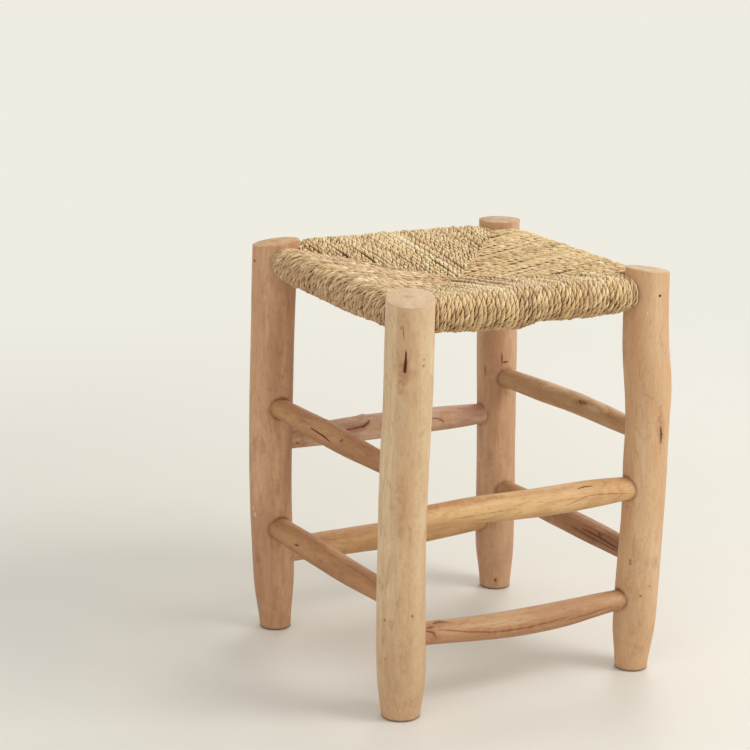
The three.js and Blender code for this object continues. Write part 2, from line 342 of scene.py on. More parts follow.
class Kind(Enum):
    """What a mark on a pole is: its core colour, its halo colour, and how much it sinks."""

    KNOT = ((88, 50, 32), (150, 94, 60), 1.0)
    CRACK = ((118, 72, 44), (164, 110, 72), 0.5)
    SLIT = ((84, 44, 26), (150, 88, 54), 0.8)
    STAIN = ((168, 108, 70), (168, 108, 70), 0.0)
    PALE = ((228, 210, 178), (208, 184, 150), 0.0)
    # Painted sheen: a pale stripe of painted highlight down a pole's lit side, with no core and no
    # depth.
    FADE = ((217, 193, 154), (217, 193, 154), 0.0)


KNOT, CRACK, SLIT, STAIN, PALE, FADE = Kind


@dataclass(frozen=True)
class Mark:
    """A knot, crack or stain on a pole's skin, or a stripe of painted highlight.

    Attributes:
        kind: What it is.
        route: Its points, as (distance along the pole in mm, angle round it in degrees).
        width: Half its width in mm.
        strength: How much of its colour it takes, from 0 to 1.
        halo: How far its halo reaches, in widths.
        shape: The share of its width that it has at each point; by default its ends are fine.
    """

    kind: Kind
    route: tuple[tuple[float, float], ...]
    width: float
    strength: float = 1.0
    halo: float = 2.8
    shape: tuple[float, ...] = ()

    def stops(self) -> list[tuple[float, float, float]]:
        """Works out where the mark runs; a single point becomes a short stretch.

        Returns:
            Its points, each with the mark's half width there, in mm.
        """
        route = list(self.route)
        if len(route) == 1:
            (distance, angle), = route
            route = [(distance - 0.2, angle), (distance + 0.2, angle)]
            shape = (1.0, 1.0)
        elif self.shape:
            shape = self.shape
        else:
            if len(route) == 2:
                (first, left), (last, right) = route
                route.insert(1, ((first + last) / 2.0, (left + right) / 2.0))
            shape = (0.4, *(1.0,) * (len(route) - 2), 0.4)
        return [(*stop, self.width * share) for stop, share in zip(route, shape)]


@dataclass(frozen=True)
class Stretch:
    """A straight stretch of a mark on the unrolled skin, in metres."""

    start: Vector
    end: Vector
    widths: tuple[float, float]


@dataclass(frozen=True)
class Wood:
    """A peeled pole's finish: soft long streaks, mottling, faint growth lines, fibres, marks.

    Attributes:
        name: The material's name.
        pale: The lightest colour.
        tan: The usual colour.
        brown: The darker streaks.
        blush: The colour of the large soft patches.
        seed: Sets this pole's own pattern.
        blotch: How much of the blush shows.
        grain: How strongly the streaks show.
        sawn: The colour of the sawn end, where one shows.
    """

    name: str
    pale: Colour
    tan: Colour
    brown: Colour
    blush: Colour
    seed: float
    blotch: float = 0.5
    grain: float = 0.5
    sawn: Colour | None = None

    DRAWN_OUT: ClassVar[Point] = (0.05, 0.22, 0.36)     # what noise keeps of its run along a pole
    PITH: ClassVar[Point] = (0.0023, -0.0016, 0.0)
    RING: ClassVar[float] = 0.0026
    SAWN_RING: ClassVar[float] = 0.0036
    SHAKE: ClassVar[float] = 0.0016                     # how far a mark's edge wanders

    def material(self, pole: "Pole") -> bpy.types.Material:
        """Builds the material for one pole.

        Args:
            pole: The pole that it is for, which gives the grain's direction and the marks.

        Returns:
            The material.
        """
        made, graph = finish_of(self.name)
        place = graph.place()
        away = graph.vector("SUBTRACT", place, tuple(pole.middle()))
        ahead, aside, along = (graph.dot(away, tuple(way)) for way in (
            pole.across(pole.face), pole.across(pole.face + 90.0), pole.direction()))
        flat = graph.joined(ahead, aside)
        turn = graph.node("ShaderNodeMath", {"operation": "ARCTAN2"}, {0: aside, 1: ahead})
        unrolled = graph.joined(turn * (pole.radius * MM), along)
        long, loose, short = (graph.vector("ADD", flat, graph.joined(0.0, 0.0, along * share))
                              for share in self.DRAWN_OUT)
        fibre, streak, broad, sweep, patch, dapple, speck = (
            graph.noise(where, scale, detail, self.seed + shift, rough)
            for where, scale, detail, shift, rough in (
                (long, 760.0, 3.0, 0.0, 0.6), (long, 170.0, 3.0, 3.0, 0.6),
                (long, 62.0, 2.0, 5.0, 0.5), (loose, 36.0, 2.0, 7.0, 0.5),
                (loose, 30.0, 3.0, 11.0, 0.55), (short, 105.0, 3.0, 15.0, 0.6),
                (short, 430.0, 2.0, 17.0, 0.6)))

        eyes = self._eyes(graph, unrolled, pole)
        from_pith = graph.length(graph.vector("ADD", flat, self.PITH))
        rings = ((from_pith + sweep * 0.011 + eyes * 0.0045)
                 * (FULL_TURN / self.RING)).sine().ease(0.2, 1.0)
        contour = ((sweep * 1.3 + eyes * 0.16) * 52.0).sine().ease(0.72, 1.0)
        pit = graph.node(
            "ShaderNodeTexVoronoi", {"voronoi_dimensions": "4D"},
            {"Vector": place, "W": self.seed, "Scale": 42.0}, "Distance")
        pit = pit.ease(0.016, 0.034, 0.75, 0.0)
        marks, sunk = self._marks(graph, unrolled, pole)
        skin = graph.layered(
            graph.blend(broad.ease(0.36, 0.64), self.tan, self.pale),
            (patch.ease(0.46, 0.62, 0.0, self.blotch), self.blush),
            (patch.ease(0.32, 0.46, 0.55, 0.0), self.pale),
            (dapple.ease(0.5, 0.68, 0.0, 0.7 * self.blotch), self.blush),
            (dapple.ease(0.3, 0.46, 0.6 * self.blotch, 0.0), self.pale),
            (streak.ease(0.5, 0.76, 0.0, 0.55 * self.grain), self.brown),
            (streak.ease(0.2, 0.44, 0.45 * self.grain, 0.0), self.pale),
            (rings * broad.ease(0.4, 0.6) * (0.42 * self.grain), self.brown),
            (contour * dapple.ease(0.4, 0.6) * 0.26, self.brown),
            (speck.ease(0.5, 0.74, 0.0, 0.34), self.brown),
            (fibre.ease(0.5, 0.78, 0.0, 0.24 + 0.2 * self.grain), self.brown),
            (pit, srgb(112, 70, 44)),
            *marks,
            *self._mortise_rims(graph, place, dapple, pole))
        if self.sawn:
            skin = graph.layered(skin, *self._foot(graph, place, dapple),
                                 self._sawn_end(graph, place, from_pith))
        relief = fibre * 0.45 + streak * 0.6 + dapple * 0.9 + speck * 0.35 - pit
        if sunk is not None:
            relief = relief - sunk * 5.0
        graph.end(graph.surface(
            Base_Color=skin, Roughness=fibre.ease(0.3, 0.8, 0.5, 0.66), Specular_IOR_Level=0.4,
            Normal=graph.bumps(0.45, 0.0005, relief)))
        return made

    @staticmethod
    def _eyes(graph: Graph, unrolled: Value, pole: "Pole") -> Value | float:
        """Works out how far the grain is pushed aside round each knot.

        Args:
            graph: The graph to add to.
            unrolled: The place on the unrolled skin.
            pole: The pole.

        Returns:
            The push, or 0 where the pole has no knot.
        """
        push: Value | float = 0.0
        for mark in pole.marks:
            if mark.kind in (KNOT, SLIT):
                first = pole.unrolled(mark)[0]
                spread = max(mark.width * 6.0, 8.0) * MM
                near = graph.to_line(unrolled, first.start, first.end)
                push = near.ease(0.0, spread, 1.0, 0.0) + push
        return push

    def _marks(self, graph: Graph, unrolled: Value,
               pole: "Pole") -> tuple[list[Layer], Value | None]:
        """Draws the pole's marks.

        Args:
            graph: The graph to add to.
            unrolled: The place on the unrolled skin.
            pole: The pole.

        Returns:
            The layers to lay over the skin, and how deep the surface sinks at them.
        """
        layers: list[Layer] = []
        sunk: Value | None = None
        if not pole.marks:
            return layers, sunk
        shake = graph.noise(unrolled, 190.0, 3.0, self.seed, output="Color")
        shake = graph.vector("SUBTRACT", shake, (0.5, 0.5, 0.5))
        shake = graph.vector("MULTIPLY", shake, (self.SHAKE, self.SHAKE, 0.0))
        shaken = graph.vector("ADD", unrolled, shake)
        cloud = graph.noise(unrolled, 150.0, 3.0, self.seed + 31.0, 0.6).ease(0.34, 0.62, 0.25, 1.0)
        for mark in pole.marks:
            near = reduce(Value.least, (
                graph.to_line(shaken, stretch.start, stretch.end, stretch.widths)
                for stretch in pole.unrolled(mark)))
            core_colour, halo_colour, depth = mark.kind.value
            halo = near.ease(0.3, mark.halo, 0.7 * mark.strength, 0.0) * cloud
            layers.append((halo, srgb(*halo_colour)))
            if core_colour == halo_colour:
                continue
            core = near.ease(0.3, 1.1, mark.strength, 0.0)
            if mark.kind is CRACK:
                core = core * (cloud * 0.5 + 0.5)
            layers.append((core, srgb(*core_colour)))
            if depth:
                sink = core * depth
                sunk = sink if sunk is None else sunk + sink
        return layers, sunk

    @staticmethod
    def _mortise_rims(graph: Graph, place: Value, dapple: Value, pole: "Pole") -> list[Layer]:
        """Browner wood round each mortise.

        Args:
            graph: The graph to add to.
            place: The place on the object.
            dapple: The finish's mottling.
            pole: The pole.

        Returns:
            The layers to lay over the skin.
        """
        near = (graph.to_line(place, start * MM, end * MM) - radius * MM
                for start, end, radius in pole.mortises)
        return [(gap.ease(0.0002, 0.0042, 0.62, 0.0) * dapple.ease(0.3, 0.6), srgb(128, 80, 50))
                for gap in near]

    def _foot(self, graph: Graph, place: Value, dapple: Value) -> list[Layer]:
        """Browner wood towards the foot, which is painted shade as well as wear, strokes where it
        was whittled, and a dark bottom edge, which is painted contact shadow as well as dirt.

        Args:
            graph: The graph to add to.
            place: The place on the object.
            dapple: The finish's mottling.

        Returns:
            The layers to lay over the skin.
        """
        height = graph.part(place, "Z")
        strokes = graph.strokes(
            place, (0.5, 0.6, self.seed), (70.0, 420.0, 90.0), 3.0, self.seed + 9.0, 0.6)
        low = height.ease(0.018, 0.062, 1.0, 0.0)
        return [
            # Painted shade and wear: browner towards the foot.
            (height.ease(0.03, 0.17, 0.26, 0.0), self.brown),
            (strokes.ease(0.5, 0.7, 0.0, 0.5) * low, self.brown),
            (strokes.ease(0.3, 0.45, 0.35, 0.0) * low, self.pale),
            (low * dapple.ease(0.35, 0.6, 0.1, 0.35), self.blush),
            # Painted contact shadow along the foot's bottom edge, with dirt.
            (height.ease(0.0006, 0.0036, 0.8, 0.0), srgb(92, 66, 48)),
        ]

    def _sawn_end(self, graph: Graph, place: Value, from_pith: Value) -> Layer:
        """Paler end grain with faint wandering rings where the pole is sawn.

        Args:
            graph: The graph to add to.
            place: The place on the object.
            from_pith: The distance from the pith.

        Returns:
            Where the end grain shows, and its colour.
        """
        normal = graph.node("ShaderNodeNewGeometry", output="Normal")
        top = graph.part(normal, "Z").ease(0.6, 0.9) * graph.part(place, "Z").ease(0.435, 0.44)
        wander = graph.noise(place, 60.0, 3.0, self.seed + 21.0, 0.6)
        cloud = graph.noise(place, 90.0, 3.0, self.seed + 25.0, 0.6)
        ring = ((from_pith + wander * 0.02) * (FULL_TURN / self.SAWN_RING)).sine().ease(0.1, 1.0)
        swirl = ((wander + cloud) * 40.0).sine().ease(0.8, 1.0)
        saw_strokes = graph.strokes(
            place, (0.0, 0.0, self.seed), (60.0, 900.0, 60.0), 2.0, self.seed + 5.0, 0.5)
        pale_end = graph.blend(0.35, self.sawn, srgb(230, 208, 176))
        return top, graph.layered(
            graph.blend(cloud.ease(0.38, 0.62), self.sawn, pale_end),
            (ring * cloud.ease(0.3, 0.7, 0.12, 0.3), self.brown),
            (swirl * 0.3, self.brown),
            (saw_strokes.ease(0.5, 0.8, 0.0, 0.4), self.blush),
            (from_pith.ease(0.0, 0.008, 0.25, 0.0), self.brown),
            (from_pith.ease(0.0, 0.0018, 0.5, 0.0), srgb(128, 84, 54)))


@dataclass(frozen=True)
class PalmCord:
    """Twisted palm leaf: dry leaf strips in straw, tan, green and brown, glossy along the leaf,
    with painted highlight on the ridges and painted shade in the creases.

    Attributes:
        name: The material's name.
        seed: Sets the pattern of this part of the seat.
    """

    name: str
    seed: float

    # Round a strand's turn of mood, from dull to bleached
    MOODS: ClassVar[tuple[float, ...]] = (0.0, 0.16, 0.32, 0.5, 0.68, 0.84, 1.0)
    LEAVES: ClassVar[tuple[Colour, ...]] = palette(
        (142, 102, 54), (178, 136, 84), (205, 167, 114), (223, 189, 137), (237, 208, 155),
        (233, 206, 148), (251, 235, 197))

    def material(self) -> bpy.types.Material:
        """Builds the material, which reads the cord's own attributes.

        Returns:
            The material.
        """
        made, graph = finish_of(self.name)
        leaf = graph.attribute("leaf", "Vector")
        tone, kin, shown = (graph.attribute(name) for name in ("tone", "kin", "open"))
        piece, vein, fleck = (
            graph.noise(graph.vector("MULTIPLY", leaf, (run, girth, girth)), 1.0, detail,
                        self.seed + shift, 0.62)
            for run, girth, detail, shift in (
                (34.0, 0.5, 2.0, 0.0), (50.0, 2.2, 3.0, 4.0), (420.0, 1.4, 2.0, 9.0)))
        mood = (tone * 0.75 + piece * 0.7 + vein * 0.45 - 0.47).most(0.0).least(1.0)
        stops = {"stops": list(zip(self.MOODS, self.LEAVES))}
        colour = graph.layered(
            graph.node("ShaderNodeValToRGB", stops, {0: mood}),
            (kin.ease(0.2, 0.9, 0.0, 0.7), srgb(187, 139, 102)),
            (kin.ease(-0.9, -0.2, 0.45, 0.0), srgb(214, 187, 122)),
            (vein.ease(0.5, 0.62, 0.0, 0.42), srgb(158, 114, 60)),
            (vein.ease(0.34, 0.46, 0.36, 0.0), srgb(249, 231, 190)),
            (fleck.ease(0.6, 0.85, 0.0, 0.35), srgb(122, 84, 42)),
            # Painted highlight on the strands' ridges, then painted shade in the creases and
            # between the cords, both from the 'open' attribute.
            (shown.ease(0.75, 1.0, 0.0, 0.3), srgb(249, 232, 194)),
            (shown.ease(0.05, 0.72, 0.85, 0.0), srgb(134, 92, 40)))
        graph.end(graph.surface(
            Base_Color=colour, Roughness=vein.ease(0.3, 0.7, 0.4, 0.6), Specular_IOR_Level=0.45,
            Normal=graph.bumps(0.6, 0.00045, vein + fleck * 0.4)))
        return made


@dataclass(frozen=True)
class Husk:
    """The dull inner windings."""

    name: str = "inner_cord"

    def material(self) -> bpy.types.Material:
        """Builds the material.

        Returns:
            The material.
        """
        made, graph = finish_of(self.name)
        husk = graph.noise(graph.place(), 420.0, 3.0, 3.0)
        colour = graph.blend(husk.ease(0.35, 0.65), srgb(166, 124, 74), srgb(198, 156, 102))
        graph.end(graph.surface(Base_Color=colour, Roughness=0.8))
        return made


@dataclass(frozen=True)
class Iron:
    """A dull nail, darker where it has rusted."""

    name: str = "nail_iron"

    def material(self) -> bpy.types.Material:
        """Builds the material.

        Returns:
            The material.
        """
        made, graph = finish_of(self.name)
        rust = graph.noise(graph.place(), 900.0, 3.0, 2.0)
        graph.end(graph.surface(
            Base_Color=graph.blend(rust.ease(0.4, 0.62), srgb(58, 44, 36), srgb(70, 44, 30)),
            Metallic=rust.ease(0.4, 0.62, 0.3, 0.05), Roughness=rust.ease(0.3, 0.7, 0.42, 0.75)))
        return made


@dataclass(frozen=True)
class Painted:
    """The pale floor that the stool stands on, which fades into the backdrop."""

    name: str = "floor_paint"

    def material(self) -> bpy.types.Material:
        """Builds the material.

        Returns:
            The material.
        """
        made, graph = finish_of(self.name)
        place = graph.place()
        worn = graph.noise(place, 1.6, 3.0, 5.0)
        near = graph.surface(
            Base_Color=graph.blend(worn.ease(0.3, 0.7), srgb(222, 219, 210), srgb(226, 223, 215)),
            Roughness=0.55, Specular_IOR_Level=0.3)
        far = graph.node("ShaderNodeEmission", {}, {"Color": BACKDROP})
        share = graph.length(place).ease(0.55, 1.8) * graph.seen_directly()
        graph.end(graph.node("ShaderNodeMixShader", {}, {0: share, 1: near, 2: far}))
        return made


# Modelling by hand in Blender


def nothing_selected() -> None:
    """Leaves edit mode and deselects every object."""
    if bpy.context.object and bpy.context.object.mode != "OBJECT":
        bpy.ops.object.mode_set(mode="OBJECT")
    bpy.ops.object.select_all(action="DESELECT")


def only(piece: bpy.types.Object) -> None:
    """Makes one object the only selected one, and the active one.

    Args:
        piece: The object.
    """
    nothing_selected()
    piece.select_set(True)
    bpy.context.view_layer.objects.active = piece


@contextmanager
def editing(piece: bpy.types.Object, everything: bool = True) -> Iterator[None]:
    """Edits one object's mesh, and leaves edit mode at the end.

    Args:
        piece: The object.
        everything: Whether all of the mesh gets selected first.

    Yields:
        Nothing.
    """
    only(piece)
    bpy.ops.object.mode_set(mode="EDIT")
    if everything:
        bpy.ops.mesh.select_all(action="SELECT")
    yield
    bpy.ops.object.mode_set(mode="OBJECT")


def apply(piece: bpy.types.Object, kind: str, name: str, **settings: object) -> None:
    """Adds one modifier and applies it.

    Args:
        piece: The object.
        kind: The modifier's type.
        name: Its name.
        **settings: Its properties.
    """
    only(piece)
    modifier = piece.modifiers.new(name, kind)
    for key, setting in settings.items():
        setattr(modifier, key, setting)
    bpy.ops.object.modifier_apply(modifier=name)


def select_edges(piece: bpy.types.Object, chosen: np.ndarray) -> None:
    """Selects only the edges whose two ends are both chosen points, for edit mode.

    Args:
        piece: The object.
        chosen: Whether each point of its mesh is chosen.
    """
    mesh = piece.data
    ends = np.zeros(len(mesh.edges) * 2, int)
    mesh.edges.foreach_get("vertices", ends)
    mesh.polygons.foreach_set("select", np.zeros(len(mesh.polygons), bool))
    mesh.vertices.foreach_set("select", chosen)
    mesh.edges.foreach_set("select", chosen[ends.reshape(-1, 2)].all(axis=1))


def points_of(piece: bpy.types.Object) -> np.ndarray:
    """Reads a mesh's points.

    Args:
        piece: The object.

    Returns:
        The points, one row each.
    """
    flat = np.zeros(len(piece.data.vertices) * 3)
    piece.data.vertices.foreach_get("co", flat)
    return flat.reshape(-1, 3)


def linked(mesh: bpy.types.Mesh) -> bpy.types.Object:
    """Puts a mesh into the scene.

    Args:
        mesh: The mesh.

    Returns:
        Its object, with the same name.
    """
    made = bpy.data.objects.new(mesh.name, mesh)
    bpy.context.scene.collection.objects.link(made)
    return made


def dress(piece: bpy.types.Object, material: bpy.types.Material, node: str) -> None:
    """Gives a finished piece its material, hides the frame's node that it stands for, and sets it
    under the body.

    Args:
        piece: The finished piece.
        material: Its finish.
        node: The frame's node that it stands for.
    """
    piece.data.materials.clear()
    piece.data.materials.append(material)
    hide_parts(node)
    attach(piece, BODY)
    log.info("%s: %d faces", piece.name, len(piece.data.polygons))


# The poles

HALF = 146.5                             # from the seat's middle to a leg's middle line, mm
SHIFT = Vector((0.2625, -0.1295, 0.0))   # the legs' square stands this far off the footprint, mm
SWAY = Vector((0.872, -0.49, 0.0))       # the way in which the legs wander
LEG_HEIGHT = 450.0
BEYOND_CUTS = ((-44.0, -22.0), (474.0, 498.0))      # rings that the saw takes off, mm
SHOULDER_GAP = 2.0                       # from a leg's skin to a rung's shoulder, mm
RUNG_PAST_AXIS = 6.0                     # how far a rung goes past a leg's middle line, mm
RUNG_NECK = 8.0                          # from that line to a rung's next ring, mm
BORE_PAST_RUNG = 3.0                     # how much deeper than a rung its bore is, mm
BORE_REACH = 45.0                        # from a leg's middle line to a cutter's outer end
BORE_SIDES = 40                          # of the cylinder that cuts a bore
SLIT_DEPTH = 1.5                         # mm
SLIT_WIDTH = 0.36                        # half a slit's opening, in widths of its mark
LUMP_RUN = 3.4                           # how much longer than wide the skin's lumps are
LUMP_SIZE = 0.03                         # their usual size, in metres
CUT_SIZE, CUT_HEIGHT = 0.009, 0.26       # the peeling knife's marks, in metres and in mm
SMOOTH_ANGLE = math.radians(38.0)


@dataclass
class Pole(ABC):
    """A round peeled pole that is drawn out ring by ring.

    Attributes:
        name: The piece's name.
        node: The frame's node that it stands for.
        slot: The name of a material slot; it is not used.
        wood: Its finish.
        marks: The knots and cracks on it.
        radius: Its usual radius, mm.
        girths: Its radius at each station, as shares of its usual radius.
        sides: Sides of the first ring, before it is smoothed.
        levels: Levels of smoothing.
        lumps: How uneven the skin is, in mm.
        swells: Rises and dents, as (distance, angle, reach, rise) in mm and degrees.
        face: The angle of the side that is seen most, where the marks' unrolled skin begins.
        mortises: Blind bores for the rungs.
    """

    name: str
    node: str
    slot: str
    wood: Wood
    marks: tuple[Mark, ...] = ()
    radius: float = 24.0
    girths: tuple[float, ...] = ()
    sides: int = 10
    levels: int = 3
    lumps: float = 1.1
    swells: tuple[tuple[float, float, float, float], ...] = ()
    face: float = -120.0
    mortises: list[Bore] = field(default_factory=list)

    STATIONS: ClassVar[tuple[float, ...]] = ()

    @abstractmethod
    def ends(self) -> tuple[Vector, Vector]:
        """The two ends of the pole's straight line, in mm."""

    @abstractmethod
    def across(self, angle: float) -> Vector:
        """The way out from the pole's line at an angle round it, in degrees."""

    @abstractmethod
    def station(self, distance: float) -> float:
        """Where a distance along the pole, in mm, lies among its stations."""

    @abstractmethod
    def middle_at(self, distance: float) -> Vector:
        """The pole's middle at a distance along it, in mm."""

    @abstractmethod
    def stops(self) -> tuple[float, ...]:
        """How far along the pole its rings lie, in mm."""

    def cut(self, piece: bpy.types.Object) -> None:
        """Saws and bores the blank; a plain pole needs none."""

    def shaped(self, shares: tuple[float, ...], distance: float) -> float:
        """What a table in shares of the radius gives at a distance along the pole, in mm."""
        return self.radius * float(np.interp(self.station(distance), self.STATIONS, shares))

    def radius_at(self, distance: float) -> float:
        """The pole's radius at a distance along it, in mm."""
        return self.shaped(self.girths, distance)

    def direction(self) -> Vector:
        """The way in which the pole runs."""
        start, end = self.ends()
        return (end - start).normalized()

    def middle(self) -> Vector:
        """The pole's middle, in metres."""
        start, end = self.ends()
        return (start + end) * 0.5 * MM

    def skin(self, distance: float, angle: float) -> Vector:
        """A place on the pole's skin, in metres."""
        out = self.across(angle) * self.radius_at(distance)
        return (self.middle_at(distance) + out) * MM

    def unrolled(self, mark: Mark) -> list[Stretch]:
        """Lays a mark out on the unrolled skin.

        Args:
            mark: The mark.

        Returns:
            Its straight stretches.
        """
        points = []
        for distance, angle, width in mark.stops():
            away = self.skin(distance, angle) - self.middle()
            turn = math.atan2(away.dot(self.across(self.face + 90.0)),
                              away.dot(self.across(self.face)))
            place = Vector((turn * self.radius * MM, away.dot(self.direction()), 0.0))
            points.append((place, width * MM))
        return [Stretch(start, end, (wide, next_wide))
                for (start, wide), (end, next_wide) in zip(points, points[1:])]

    def build(self) -> bpy.types.Object:
        """Makes the finished, dressed piece.

        Returns:
            The piece.
        """
        piece = self.blank()
        self.swell(piece)
        self.roughen(piece)
        self.split(piece)
        self.cut(piece)
        only(piece)
        bpy.ops.object.shade_smooth_by_angle(angle=SMOOTH_ANGLE)
        dress(piece, self.wood.material(self), self.node)
        return piece

    def blank(self) -> bpy.types.Object:
        """Draws the pole out of a disc, ring by ring, and smooths it.

        Returns:
            The smooth pole.
        """
        rings = [(self.middle_at(stop), self.radius_at(stop)) for stop in self.stops()]
        rounding = 3.0 / (2.0 + math.cos(FULL_TURN / self.sides))
        middle, radius = rings[0]
        nothing_selected()
        bpy.ops.mesh.primitive_circle_add(
            vertices=self.sides, radius=radius * rounding * MM, fill_type="NGON",
            location=middle * MM,
            rotation=Z_AXIS.rotation_difference(self.direction()).to_euler())
        piece = bpy.context.object
        piece.name = piece.data.name = self.name
        with editing(piece):
            for (before, thick), (after, next_thick) in zip(rings, rings[1:]):
                bpy.ops.mesh.extrude_region_move(
                    TRANSFORM_OT_translate={"value": (after - before) * MM})
                bpy.ops.transform.resize(
                    value=(next_thick / thick,) * 3, center_override=after * MM)
            bpy.ops.mesh.select_all(action="SELECT")
            bpy.ops.mesh.normals_make_consistent(inside=False)
        bpy.ops.object.transform_apply(location=True, rotation=True, scale=True)
        apply(piece, "SUBSURF", "round", levels=self.levels, render_levels=self.levels)
        return piece

    def swell(self, piece: bpy.types.Object) -> None:
        """Raises or sinks the skin smoothly at a few places.

        Args:
            piece: The pole.
        """
        points = points_of(piece)
        for distance, angle, reach, rise in self.swells:
            spot = self.skin(distance, angle)
            near = np.linalg.norm(points - np.array(spot), axis=1) / (reach * MM)
            share = np.clip(1.0 - near ** 2, 0.0, 1.0) ** 2
            points += share[:, None] * np.array(self.across(angle)) * rise * MM
        piece.data.vertices.foreach_set("co", points.reshape(-1))
        piece.data.update()

    def roughen(self, piece: bpy.types.Object) -> None:
        """Raises long low lumps on the skin, drawn out along the pole.

        Args:
            piece: The pole.
        """
        bpy.ops.object.empty_add()
        guide = bpy.context.object
        guide.rotation_mode = "QUATERNION"
        guide.rotation_quaternion = Z_AXIS.rotation_difference(self.direction())
        guide.scale = (1.0, 1.0, LUMP_RUN)
        bpy.context.view_layer.update()
        for name, size, height in (("lumps", LUMP_SIZE, self.lumps),
                                   ("cuts", CUT_SIZE, CUT_HEIGHT)):
            clouds = bpy.data.textures.new(f"{self.name}_{name}", "CLOUDS")
            clouds.noise_scale = size
            clouds.noise_depth = 1
            apply(piece, "DISPLACE", name, texture=clouds, texture_coords="OBJECT",
                  texture_coords_object=guide, mid_level=0.5, strength=height * MM)
        bpy.data.objects.remove(guide)

    def split(self, piece: bpy.types.Object) -> None:
        """Cuts the open slits into the skin.

        Args:
            piece: The pole.
        """
        slits = [mark.stops() for mark in self.marks if mark.kind is SLIT]
        for before, after in (pair for stops in slits for pair in zip(stops, stops[1:])):
            start, end = self.skin(*before[:2]), self.skin(*after[:2])
            run = (end - start).normalized()
            side = self.across((before[1] + after[1]) / 2.0).cross(run).normalized()
            wide = SLIT_WIDTH * (before[2] + after[2]) * MM
            nothing_selected()
            bpy.ops.mesh.primitive_uv_sphere_add(
                segments=12, ring_count=8, radius=1.0, location=(start + end) * 0.5,
                rotation=Matrix((run, side, run.cross(side))).transposed().to_euler())
            cutter = bpy.context.object
            cutter.scale = ((end - start).length * 0.5 + wide, wide, SLIT_DEPTH * MM)
            self.bite(piece, cutter)

    def bite(self, piece: bpy.types.Object, cutter: bpy.types.Object) -> None:
        """Takes a cutter's shape out of the pole."""
        apply(piece, "BOOLEAN", "bite", operation="DIFFERENCE", object=cutter, solver="EXACT")
        bpy.data.objects.remove(cutter)


@dataclass
class Leg(Pole):
    """A leg: swayed, thinner at the foot, sawn at a slant on top and bored for what it holds.

    Attributes:
        column: Which corner it stands at, as signs of X and Y.
        sways: How far its middle wanders at each station, in radii.
        slope: The sawn top's rise along X and Y.
        rise: How far the middle of the saw cut lies above the usual height, mm.
        rims: How wide the edge is eased at the top and at the foot, mm.
        bores: Bores for rails and nails.
    """

    column: tuple[int, int] = (1, 1)
    sways: tuple[float, ...] = ()
    slope: tuple[float, float] = (0.0, 0.0)
    rise: float = 0.0
    rims: tuple[float, float] = (1.1, 2.3)
    bores: list[Bore] = field(default_factory=list)

    STATIONS: ClassVar[tuple[float, ...]] = tuple(
        LEG_HEIGHT * share
        for share in (0, 0.012, 0.06, 0.1, 0.16, 0.28, 0.4, 0.52, 0.64, 0.76, 0.88, 1))

    def ends(self) -> tuple[Vector, Vector]:
        """The foot and the top on the leg's own upright, mm."""
        foot = self.middle_at(LEG_HEIGHT * 0.5).xy.to_3d()
        return foot, foot + Z_AXIS * LEG_HEIGHT

    def across(self, angle: float) -> Vector:
        """The way out at an angle from X towards Y."""
        return Vector((math.cos(math.radians(angle)), math.sin(math.radians(angle)), 0.0))

    def station(self, distance: float) -> float:
        """A height, which is what the leg's stations are."""
        return distance

    def middle_at(self, distance: float) -> Vector:
        """The leg's middle at a height, mm."""
        foot = Vector((self.column[0] * HALF, self.column[1] * HALF, distance))
        return foot + SWAY * self.shaped(self.sways, distance) + SHIFT

    def stops(self) -> tuple[float, ...]:
        """The rings' heights, from below the floor to above the saw cut."""
        return *BEYOND_CUTS[0], self.STATIONS[0], *self.STATIONS[2:], *BEYOND_CUTS[1]

    def cut(self, piece: bpy.types.Object) -> None:
        """Bores the leg, saws its foot and its top, and eases both rims.

        Args:
            piece: The leg.
        """
        for start, end, radius in self.mortises + self.bores:
            run = end - start
            nothing_selected()
            bpy.ops.mesh.primitive_cylinder_add(
                vertices=BORE_SIDES, radius=radius * MM, depth=run.length * MM,
                location=(start + end) * 0.5 * MM,
                rotation=Z_AXIS.rotation_difference(run).to_euler())
            self.bite(piece, bpy.context.object)
        top = (self.middle_at(LEG_HEIGHT) + Z_AXIS * self.rise) * MM
        tilt = Vector((-self.slope[0], -self.slope[1], 1.0)).normalized()
        self.saw(piece, top, tilt, self.rims[0])
        self.saw(piece, Vector(), -Z_AXIS, self.rims[1])

    def saw(self, piece: bpy.types.Object, place: Vector, normal: Vector, rim: float) -> None:
        """Saws the leg through at a place and eases the cut's edge.

        Args:
            piece: The leg.
            place: A point of the cut, in metres.
            normal: The way that the sawn face looks.
            rim: The width of the eased edge, mm.
        """
        with editing(piece):
            bpy.ops.mesh.bisect(plane_co=place, plane_no=normal, use_fill=True, clear_outer=True)
        on_cut = np.abs((points_of(piece) - np.array(place)) @ np.array(normal)) < 1e-5
        select_edges(piece, on_cut)
        with editing(piece, everything=False):
            bpy.ops.mesh.select_mode(type="EDGE")
            bpy.ops.mesh.bevel(offset=rim * MM, segments=3, affect="EDGES", clamp_overlap=False)
            bpy.ops.mesh.select_mode(type="VERT")


